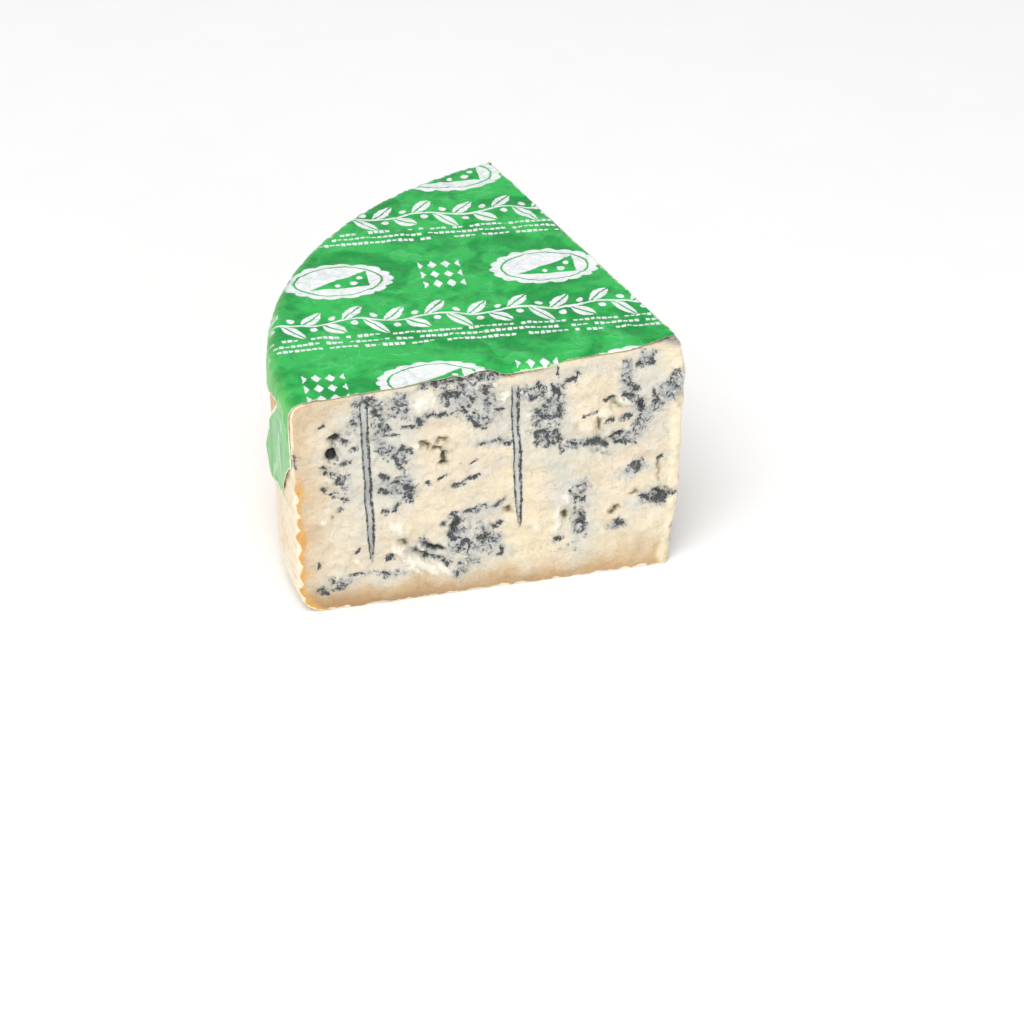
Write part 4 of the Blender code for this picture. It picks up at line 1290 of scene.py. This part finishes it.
def rind_group():
    """Bands by the depth inside the rim: cream scallops outside, orange lobes, tan with painted shade in
    the top corner, and a brown base that is partly painted contact shadow.
    """
    tree, wires, leave = new_group(
        "rind bands",
        (("Place", VECTOR, None), ("Depth", FLOAT, 0.0), ("Height", FLOAT, 0.0)),
        (("Cream", FLOAT), ("Orange", FLOAT), ("Tan", FLOAT), ("Base", FLOAT), ("Line", FLOAT)),
    )
    place, depth, height = (wires[k] for k in ("Place", "Depth", "Height"))
    wobble = noise_wire(tree, place, 240.0, 2.0, 0.5).spread() - 0.5
    broad = noise_wire(tree, place, 70.0, 2.0, 0.5).spread() - 0.5
    phase = height * (math.pi / (RIB_PITCH / MM)) + wobble * 0.9 + broad * 1.2
    lobe = phase.math("SINE").math("ABSOLUTE")
    edge = lobe * (broad * 0.9 - 1.1) + 1.65 + wobble * 0.9
    low = height.ease(60.0, 50.0)
    thin = (depth + wobble * 0.6).ease(1.0, 0.5) * low.inverse() * 0.8
    plug(tree, ((edge - depth).ease(-0.2, 0.3) * low).most(thin), leave.inputs["Cream"])
    lining = (depth + wobble * 1.6 + broad * 1.2).ease(4.4, 1.5)
    plug(tree, lining * (low * 0.85 + 0.1), leave.inputs["Orange"])
    under = (depth + broad * 6.0 + wobble * 2.0).ease(15.0, 3.0)
    # Darker tan in the top corner inside the rim: painted shade.
    corner = height.ease(62.0, 84.0) * (depth + broad * 12.0).ease(34.0, 8.0) * 0.9
    plug(tree, under.most(corner), leave.inputs["Tan"])
    # Base: brown towards the foot, partly tan under the rind and partly painted contact shadow.
    plug(tree, (height + broad * 5.0 + wobble * 2.0).ease(14.0, 1.0), leave.inputs["Base"])
    plug(tree, (height + wobble * 1.2).ease(0.9, 0.5), leave.inputs["Line"])
    return tree


def crumple_group():
    """Small facets of handled foil: broad dents, sharp creases and a fine dimple."""
    tree, wires, leave = new_group(
        "crumple",
        (("Place", VECTOR, None),),
        (("Tone", FLOAT), ("Crease", FLOAT), ("Height", FLOAT)),
    )
    place = wires["Place"]
    broad = noise_wire(tree, place, 42.0, 3.0, 0.6, 0.6).spread()
    middling = noise_wire(tree, place, 150.0, 3.0, 0.6, 0.4).spread()
    crease = noise_wire(tree, place, 75.0, 2.0, 0.5, 0.9).away(0.5).ease(0.035, 0.0)
    fine = noise_wire(tree, place, 620.0, 3.0, 0.6)
    plug(tree, broad * 0.6 + middling * 0.3 + fine * 0.1, leave.inputs["Tone"])
    plug(tree, crease * broad.ease(0.4, 0.8), leave.inputs["Crease"])
    plug(tree, broad * 0.6 + middling * 0.4 + crease * 0.25 + fine * 0.10, leave.inputs["Height"])
    return tree


def repeat(wire, pitch):
    """Signed distance from the middle of the cell, for cells of the given pitch."""
    return (wire / pitch).math("FRACT") * pitch - pitch / 2


def print_group():
    """White print on the foil: leafy vines, rows of dashes, and scalloped seals with a wedge.

    The flat place in millimetres is turned a little, then folded into rows that repeat.
    """
    tree, wires, leave = new_group("print", (("Flat", VECTOR, None),), (("White", FLOAT),))
    split = tree.nodes.new("ShaderNodeSeparateXYZ")
    plug(tree, wires["Flat"], split.inputs[0])
    jitter = noise_wire(tree, wires["Flat"], 0.7, 2.0, 0.5) - 0.5
    x = Wire(tree, split.outputs[0]) + jitter * 0.8
    y = Wire(tree, split.outputs[1]) - jitter * 0.8
    u = x * math.cos(PRINT_TURN) + y * math.sin(PRINT_TURN)
    v = y * math.cos(PRINT_TURN) - x * math.sin(PRINT_TURN)
    band = (v / ROW_REPEAT + ROW_SHIFT).math("FLOOR")
    row = v - band * ROW_REPEAT + ROW_SHIFT * ROW_REPEAT
    shift = u + band * BAND_STEP
    white = vine(shift, row).most(dashes(tree, shift, row, band)).most(seal(shift, row))
    plug(tree, white, leave.inputs["White"])
    return tree


def length_of(x, y):
    """Root of the sum of two squares."""
    return (x * x + y * y).math("SQRT")


def leaf(lengthwise, crosswise, half_length, half_width):
    """A pointed leaf between two parabolas, split by its midrib."""
    x = lengthwise / half_length
    off = crosswise.math("ABSOLUTE")
    outline = (x * x * -half_width + half_width - off).inside(PRINT_SOFTNESS)
    return outline * (off - MIDRIB_HALF_WIDTH).inside(PRINT_SOFTNESS)


def vine(u, row):
    """Leaves to both sides of a wavy stem, with a berry between each two."""
    wave = (u * (math.pi / VINE_PITCH)).math("SINE") * VINE_SWING
    off = row - VINE_ROW - wave
    shapes = (off.math("ABSOLUTE") * -1.0 + STEM_HALF_WIDTH).inside(PRINT_SOFTNESS)
    for way, start in ((1.0, 0.0), (-1.0, VINE_PITCH / 2)):
        du = repeat(u + start, VINE_PITCH)
        dv = off * way - LEAF_OFF
        lengthwise = du * math.cos(LEAF_TURN) + dv * math.sin(LEAF_TURN)
        crosswise = dv * math.cos(LEAF_TURN) - du * math.sin(LEAF_TURN)
        shapes = shapes.most(leaf(lengthwise, crosswise, *LEAF_SIZE))
        du = repeat(u + start + VINE_PITCH / 2, VINE_PITCH)
        dv = off * way - BERRY_OFF
        berry = length_of(du, dv) * -1.0 + BERRY_RADIUS
        shapes = shapes.most(berry.inside(PRINT_SOFTNESS))
    return shapes


def dashes(tree, u, row, band):
    """Rows of short dashes of chance heights with chance gaps."""
    shapes = None
    for k, middle in enumerate(DASH_ROWS):
        cell = (u / DASH_PITCH + k * DASH_SHIFT).math("FLOOR")
        chance = tree.nodes.new("ShaderNodeTexWhiteNoise")
        chance.noise_dimensions = "2D"
        joined = tree.nodes.new("ShaderNodeCombineXYZ")
        plug(tree, cell, joined.inputs[0])
        plug(tree, band * 7.0 + float(k), joined.inputs[1])
        tree.links.new(joined.outputs[0], chance.inputs["Vector"])
        draw = Wire(tree, chance.outputs["Value"])
        off = repeat(u + k * DASH_SHIFT * DASH_PITCH, DASH_PITCH).math("ABSOLUTE")
        wide = (off * -1.0 + 0.8).inside(PRINT_SOFTNESS)
        tall = (row.away(middle) * -1.0 + 0.25 + draw * 0.75).inside(PRINT_SOFTNESS)
        dash = wide * tall * draw.ease(0.16, 0.2)
        shapes = dash if shapes is None else shapes.most(dash)
    return shapes


def seal(u, row):
    """A scalloped oval with a green inner line and, in it, a green wedge with round holes.

    Distance from its middle is a share of the oval's size, and SEAL_SHARE turns it to millimetres.
    """
    du = repeat(u, SEAL_PITCH)
    dv = row - SEAL_ROW
    x, y = du / SEAL_SIZE[0], dv / SEAL_SIZE[1]
    radius = length_of(x, y)
    turn = y.math("ARCTAN2", x)
    mean, swing = SEAL_RIM
    scallop = (turn * SEAL_SCALLOPS).math("COSINE").math("ABSOLUTE") * swing + mean
    blob = ((scallop - radius) * SEAL_SHARE).inside(PRINT_SOFTNESS)
    line = (radius.away(SEAL_LINE[0]) * -SEAL_SHARE + SEAL_LINE[1]).inside(PRINT_SOFTNESS)
    slope = (du + WEDGE_REACH) * WEDGE_SLOPE - WEDGE_FOOT - dv
    wedge = slope.least(dv + WEDGE_FOOT).least(du * -1.0 + WEDGE_REACH).inside(PRINT_SOFTNESS)
    for hole_u, hole_v, size in WEDGE_HOLES:
        hole = length_of(du - hole_u, dv - hole_v) * -1.0 + size
        wedge = wedge * hole.inside(PRINT_SOFTNESS).inverse()
    return (blob * line.inverse() * wedge.inverse()).most(lozenges(u, dv))


def lozenges(u, dv):
    """A small field of lozenges half way between two seals."""
    du = repeat(u + SEAL_PITCH / 2, SEAL_PITCH)
    wide = (du.math("ABSOLUTE") * -1.0 + LOZENGE_FIELD[0]).inside(PRINT_SOFTNESS)
    tall = (dv.math("ABSOLUTE") * -1.0 + LOZENGE_FIELD[1]).inside(PRINT_SOFTNESS)
    across = repeat(du, LOZENGE_PITCH[0]).math("ABSOLUTE") * 1.4
    above = repeat(dv + LOZENGE_PITCH[1] / 2, LOZENGE_PITCH[1]).math("ABSOLUTE")
    return ((across + above) * -1.0 + LOZENGE_SIZE).inside(PRINT_SOFTNESS) * (wide * tall)


def new_material(name):
    """A node material with its tree and its Principled shader."""
    material = bpy.data.materials.new(name)
    material.use_nodes = True
    return material, material.node_tree, material.node_tree.nodes["Principled BSDF"]


def add_bump(tree, shader, height, distance, strength=1.0):
    """Feeds the shader's normal from a height through a Bump node."""
    bump = tree.nodes.new("ShaderNodeBump")
    bump.inputs["Distance"].default_value = distance
    bump.inputs["Strength"].default_value = strength
    plug(tree, height, bump.inputs["Height"])
    tree.links.new(bump.outputs["Normal"], shader.inputs["Normal"])


def cheese_material(settings):
    """Cream paste, blue-grey mould, stains, and the rind with its bands, laid over each other."""
    material, tree, shader = new_material("cheese")
    place = object_place(tree)
    split = tree.nodes.new("ShaderNodeSeparateXYZ")
    plug(tree, place, split.inputs[0])
    height = Wire(tree, split.outputs[2]) * (1 / MM)
    behind = Wire(tree, split.outputs[1]) * (1 / MM) - TIP[1] / MM
    zone, haze, vein, stain, lump, eye, track, pale, rind, rib, from_rim, from_tip = (
        field_wire(tree, name) for name in FIELDS
    )
    tone = use_group(tree, paste_group(), Place=place)
    mould = use_group(tree, mould_group(), Place=place, Zone=zone, Vein=vein.most(track * 1.25))
    bands = use_group(tree, rind_group(), Place=place, Depth=from_rim, Height=height)

    dull = tuple(c * s for c, s in zip(settings.paste, (0.86, 0.85, 0.84, 1.0)))
    clean = mixed(tree, tone["Tone"].ease(0.15, 0.85), dull, tuple(settings.paste))
    # foot: darker brown low down, most near the rim, partly tan under the rind and partly painted
    # contact shadow.
    foot = height.ease(13.0, 0.5) * from_rim.ease(75.0, 5.0) * 0.7 + height.ease(5.0, 0.5) * 0.35
    misty = (haze + (tone["Tone"] - 0.5) * 0.8).ease(0.15, 1.1) * 0.8
    corner = (from_tip + (tone["Tone"] - 0.5) * 2.0).ease(2.4, 0.0)
    speckled = stain + (tone["Tone"] - 0.5) * 0.4 + (tone["Grain"] - 0.55) * 0.8
    channel = mixed(tree, tone["Butter"], TRACK_GREY, TRACK_PALE)
    dark = mixed(tree, mould["Dark"].ease(0.4, 1.1), MOULD_GREY, tuple(settings.mould))
    # hole: black where the openings are deepest, painted shade.
    hole = (eye + (tone["Grain"] - 0.55) * 2.2).ease(1.1, 2.5)
    colour = layered(tree, clean, (
        (tone["Butter"].ease(0.35, 0.9) * 0.6, BUTTER),
        (tone["Fleck"] * 0.55, FLECK),
        # Tan near the rind, and painted shade in the top corner.
        (bands["Tan"] * 0.85, tuple(settings.tan_and_corner_shade)),
        (bands["Base"] * 0.9, BASE_BROWN_AND_SHADE),
        (foot, FOOT_BROWN_AND_SHADE),
        (misty, tuple(settings.haze)),
        (corner * 0.7, TIP_CREAM),
        # Lumps paler with their height: partly cream smear, partly painted highlight.
        (lump.ease(0.1, 0.8) * 0.75, LUMP_CREAM_AND_HIGHLIGHT),
        # Openings greyer with their depth: painted shade.
        (eye.ease(0.3, 1.8) * 0.4, HOLLOW_SHADE),
        (speckled.ease(0.05, 0.7) * 0.7, STAIN_HALO),
        (speckled.ease(0.45, 1.15) * 0.9, tuple(settings.stain)),
        (mould["Bloom"] * 0.85, tuple(settings.mould_pale)),
        (mould["White"] * 0.5, FLAKE_WHITE),
        (pale.ease(0.3, 0.8) * 0.75, channel),
        (mould["Dark"].ease(0.0, 0.6), dark),
        (hole, HOLE_SHADE),
        (bands["Line"] * 0.8, BASE_LINE),
        (bands["Orange"], RIND_UNDER_BLOOM),
        (bands["Cream"], tuple(settings.bloom)),
        (rind, rind_colour(tree, settings, place, height, rib, behind)),
    ))
    plug(tree, colour, shader.inputs["Base Color"])

    rough = mould["Dark"] * 0.25 + 0.41 + rind * 0.2 - lump * 0.12
    plug(tree, rough, shader.inputs["Roughness"])
    shader.inputs["Subsurface Weight"].default_value = 0.18
    shader.inputs["Subsurface Radius"].default_value = (1.0, 0.62, 0.36)
    shader.inputs["Subsurface Scale"].default_value = 2 * MM
    relief = tone["Grain"] * 0.9 - mould["Dark"] * 0.7 - mould["Bloom"] * 0.15 + mould["White"] * 0.2
    add_bump(tree, shader, relief, 0.95 * MM)
    return material


def rind_colour(tree, settings, place, height, rib, behind):
    """Cream bloom over orange, rubbed off in upright smears and near the foil, tan in the grooves."""
    smear = noise_wire(tree, stretched(tree, place, (1.0, 1.0, 0.22)), 170.0, 4.0, 0.65, 0.3)
    patch = noise_wire(tree, place, 55.0, 4.0, 0.6, 0.6)
    speck = noise_wire(tree, place, 700.0, 3.0, 0.7).spread()
    worn = smear * 0.45 + patch * 0.55 + height.ease(46.0, 76.0) * 0.28 + (speck - 0.5) * 0.06
    rubbed = (worn + rib * 0.05).ease(0.5, 0.8)
    bloom = mixed(tree, speck, tuple(settings.bloom), BLOOM_PALE)
    return layered(tree, bloom, (
        ((rib + (patch - 0.5)).ease(0.6, 0.1) * 0.6, GROOVE_TAN),
        (rubbed * behind.ease(0.5, 4.0) * 0.8, tuple(settings.rind)),
    ))


def foil_material(settings):
    """Printed green foil, mottled partly by its own blotches and partly by painted light and shade on
    its crumples, with a pale back and torn edges, painted highlights on its creases and streaks, and a
    hanging side painted lighter as lit.
    """
    material, tree, shader = new_material("printed foil")
    place = object_place(tree)
    sheet = tree.nodes.new("ShaderNodeUVMap")
    sheet.uv_map = "sheet"
    flat = stretched(tree, Wire(tree, sheet.outputs["UV"]), (SHEET_SPAN / MM,) * 3)
    side, backing, from_edge, hang, tongue_highlight = (
        field_wire(tree, name) for name in ("side", "backing", "from_edge", "hang", "tongue_highlight")
    )
    crumple = use_group(tree, crumple_group(), Place=place)
    printed = use_group(tree, print_group(), Flat=flat)
    # Upright streaks for painted highlights on the hanging side.
    sheen_streaks = noise_wire(tree, stretched(tree, place, (1.0, 1.0, 0.14)), 260.0, 3.0, 0.6, 0.5).spread()
    speck = noise_wire(tree, place, 420.0, 3.0, 0.6).spread()

    tone = crumple["Tone"]
    # Mottle from deep to bright green by the crumple: partly the foil's own blotches, partly painted
    # light and shade.
    green = mixed(tree, tone.ease(0.2, 0.75), tuple(settings.deep), tuple(settings.bright))
    # The hanging side is painted a lighter green: painted light.
    worn = (side * (tone * 0.5 + 0.6)).least(1.0)
    ink = printed["White"] * (side * -0.75 + 1.0) * (speck * 0.25 + 0.78).least(1.0)
    # Pale streaks low on the hanging side: painted highlights on its folds.
    streak_highlight = (sheen_streaks + tongue_highlight * 0.6 - 0.75).ease(0.0, 0.4) * side * hang.ease(2.0, 12.0)
    ragged = from_edge + (speck - 0.5) * 0.7
    bare = tone.ease(0.4, 0.65) * side.inverse() * 0.8
    torn = ragged.ease(0.95, 0.5) * side + ragged.ease(0.5, 0.15) * bare
    colour = layered(tree, green, (
        # Creases painted a lighter green: painted highlight.
        (crumple["Crease"] * 0.4, CREASE_HIGHLIGHT),
        (worn * 0.9, tuple(settings.worn)),
        (ink, tuple(settings.ink)),
        (streak_highlight * 0.5, HIGHLIGHT_PALE),
        (backing.most(torn), tuple(settings.backing)),
    ))
    plug(tree, colour, shader.inputs["Base Color"])
    plug(tree, crumple["Tone"] * 0.2 + 0.30 + ink * 0.12, shader.inputs["Roughness"])
    shader.inputs["Metallic"].default_value = 0.1
    shader.inputs["Specular IOR Level"].default_value = 0.3
    add_bump(tree, shader, crumple["Height"] + ink * 0.02, 0.9 * MM, 0.8)
    return material


def add_sheet_map(piece, flat):
    """A UV map with the flat place of the foil, scaled so that the whole sheet fits in one square."""
    mesh = piece.data
    layer = mesh.uv_layers.new(name="sheet")
    loops = np.empty(len(mesh.loops), np.int32)
    mesh.loops.foreach_get("vertex_index", loops)
    layer.uv.foreach_set("vector", (flat[loops] / SHEET_SPAN).astype(np.float32).reshape(-1))


class WEDGE_OT_cheese(bpy.types.Operator):
    """Builds the wedge of cheese with its cut faces and rind"""

    bl_idname = "wedge.cheese"
    bl_label = "Cheese"

    def execute(self, context):
        settings = context.scene.wedge_cheese
        points, faces, fields = cheese_arrays(settings)
        piece = add_piece("cheese_body", points, faces, cheese_material(settings), fields)
        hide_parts("cheese_wedge")
        return {"FINISHED"}


class WEDGE_OT_foil(bpy.types.Operator):
    """Lays the printed foil over the top and down the rim"""

    bl_idname = "wedge.foil"
    bl_label = "Foil"

    def execute(self, context):
        settings = context.scene.wedge_foil
        points, faces, flat, fields = foil_arrays(settings)
        piece = add_piece("foil_sheet", points, faces, foil_material(settings), fields)
        add_sheet_map(piece, flat)
        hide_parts("foil_wrap")
        return {"FINISHED"}


class WEDGE_OT_stage(bpy.types.Operator):
    """Sets up the pale floor, the soft lights and the camera"""

    bl_idname = "wedge.stage"
    bl_label = "Stage"

    def execute(self, context):
        settings = context.scene.wedge_stage
        add_floor()
        add_sky(context, settings.sky)
        add_light("key", *KEY_LIGHT, settings.key)
        add_light("fill", *FILL_LIGHT, settings.fill)
        add_camera(context, settings)
        context.scene.view_settings.view_transform = "Standard"
        return {"FINISHED"}


def add_floor():
    """A wide pale floor with a faint mottle."""
    mesh = bpy.data.meshes.new("floor")
    ways = ((-1, -1), (1, -1), (1, 1), (-1, 1))
    corners = [(x * FLOOR_REACH, y * FLOOR_REACH, 0) for x, y in ways]
    mesh.from_pydata(corners, [], [(0, 1, 2, 3)])
    material, tree, shader = new_material("floor")
    grain = noise_wire(tree, object_place(tree), 30.0, 3.0)
    plug(tree, mixed(tree, grain, *FLOOR_GREYS), shader.inputs["Base Color"])
    shader.inputs["Roughness"].default_value = 0.8
    mesh.materials.append(material)
    floor = bpy.data.objects.new("floor", mesh)
    bpy.context.scene.collection.objects.link(floor)


def add_sky(context, strength):
    """Even white light from all round."""
    world = bpy.data.worlds.new("studio")
    world.use_nodes = True
    back = world.node_tree.nodes["Background"]
    back.inputs["Color"].default_value = (1.0, 1.0, 1.0, 1.0)
    back.inputs["Strength"].default_value = strength
    context.scene.world = world


def add_light(name, place, size, power):
    """A soft round light that looks at the cheese."""
    data = bpy.data.lights.new(name, "AREA")
    data.shape = "DISK"
    data.size = size
    data.energy = power
    light = bpy.data.objects.new(name, data)
    light.location = place
    ahead = Vector(LIGHT_TARGET) - Vector(place)
    light.rotation_euler = ahead.to_track_quat("-Z", "Y").to_euler()
    bpy.context.scene.collection.objects.link(light)


def add_camera(context, settings):
    """Camera turned by yaw about Z, dipped down, then rolled about its own line of sight."""
    yaw, dip, roll = settings.camera_yaw, settings.camera_dip, settings.camera_roll
    ahead = Vector((math.sin(yaw) * math.cos(dip), math.cos(yaw) * math.cos(dip), -math.sin(dip)))
    right = Vector((math.cos(yaw), -math.sin(yaw), 0))
    down = ahead.cross(right)
    across = right * math.cos(roll) + down * math.sin(roll)
    below = down * math.cos(roll) - right * math.sin(roll)
    data = bpy.data.cameras.new("camera")
    data.lens = settings.lens
    data.sensor_width = 36
    data.clip_end = 20
    camera = bpy.data.objects.new("camera", data)
    turn = Matrix((across, -below, -ahead)).transposed().to_4x4()
    camera.matrix_world = Matrix.Translation(settings.camera_place) @ turn
    context.scene.collection.objects.link(camera)
    context.scene.camera = camera


class WEDGE_PT_panel(bpy.types.Panel):
    """Lists the pieces and their settings"""

    bl_idname = "WEDGE_PT_panel"
    bl_label = "Blue cheese wedge"
    bl_space_type = "VIEW_3D"
    bl_region_type = "UI"
    bl_category = "Cheese"

    def draw(self, context):
        for operator, group in PIECES:
            box = self.layout.box()
            box.operator(operator.bl_idname)
            settings = getattr(context.scene, group)
            for name in settings.bl_rna.properties.keys():
                if name not in ("rna_type", "name"):
                    box.prop(settings, name)


PIECES = (
    (WEDGE_OT_cheese, "wedge_cheese"),
    (WEDGE_OT_foil, "wedge_foil"),
    (WEDGE_OT_stage, "wedge_stage"),
)
GROUPS = (
    (CheeseSettings, "wedge_cheese"),
    (FoilSettings, "wedge_foil"),
    (StageSettings, "wedge_stage"),
)
CLASSES = (WEDGE_OT_cheese, WEDGE_OT_foil, WEDGE_OT_stage, WEDGE_PT_panel)


def register():
    """Adds the settings to the scene, then the operators and the panel."""
    for group, name in GROUPS:
        bpy.utils.register_class(group)
        setattr(bpy.types.Scene, name, bpy.props.PointerProperty(type=group))
    for item in CLASSES:
        bpy.utils.register_class(item)


def unregister():
    """Takes away what register added, in reverse."""
    for item in reversed(CLASSES):
        bpy.utils.unregister_class(item)
    for group, name in reversed(GROUPS):
        delattr(bpy.types.Scene, name)
        bpy.utils.unregister_class(group)


def main():
    """Builds the pieces and the stage."""
    register()
    bpy.ops.wedge.cheese()
    bpy.ops.wedge.foil()
    bpy.ops.wedge.stage()


if __name__ == "__main__":
    main()
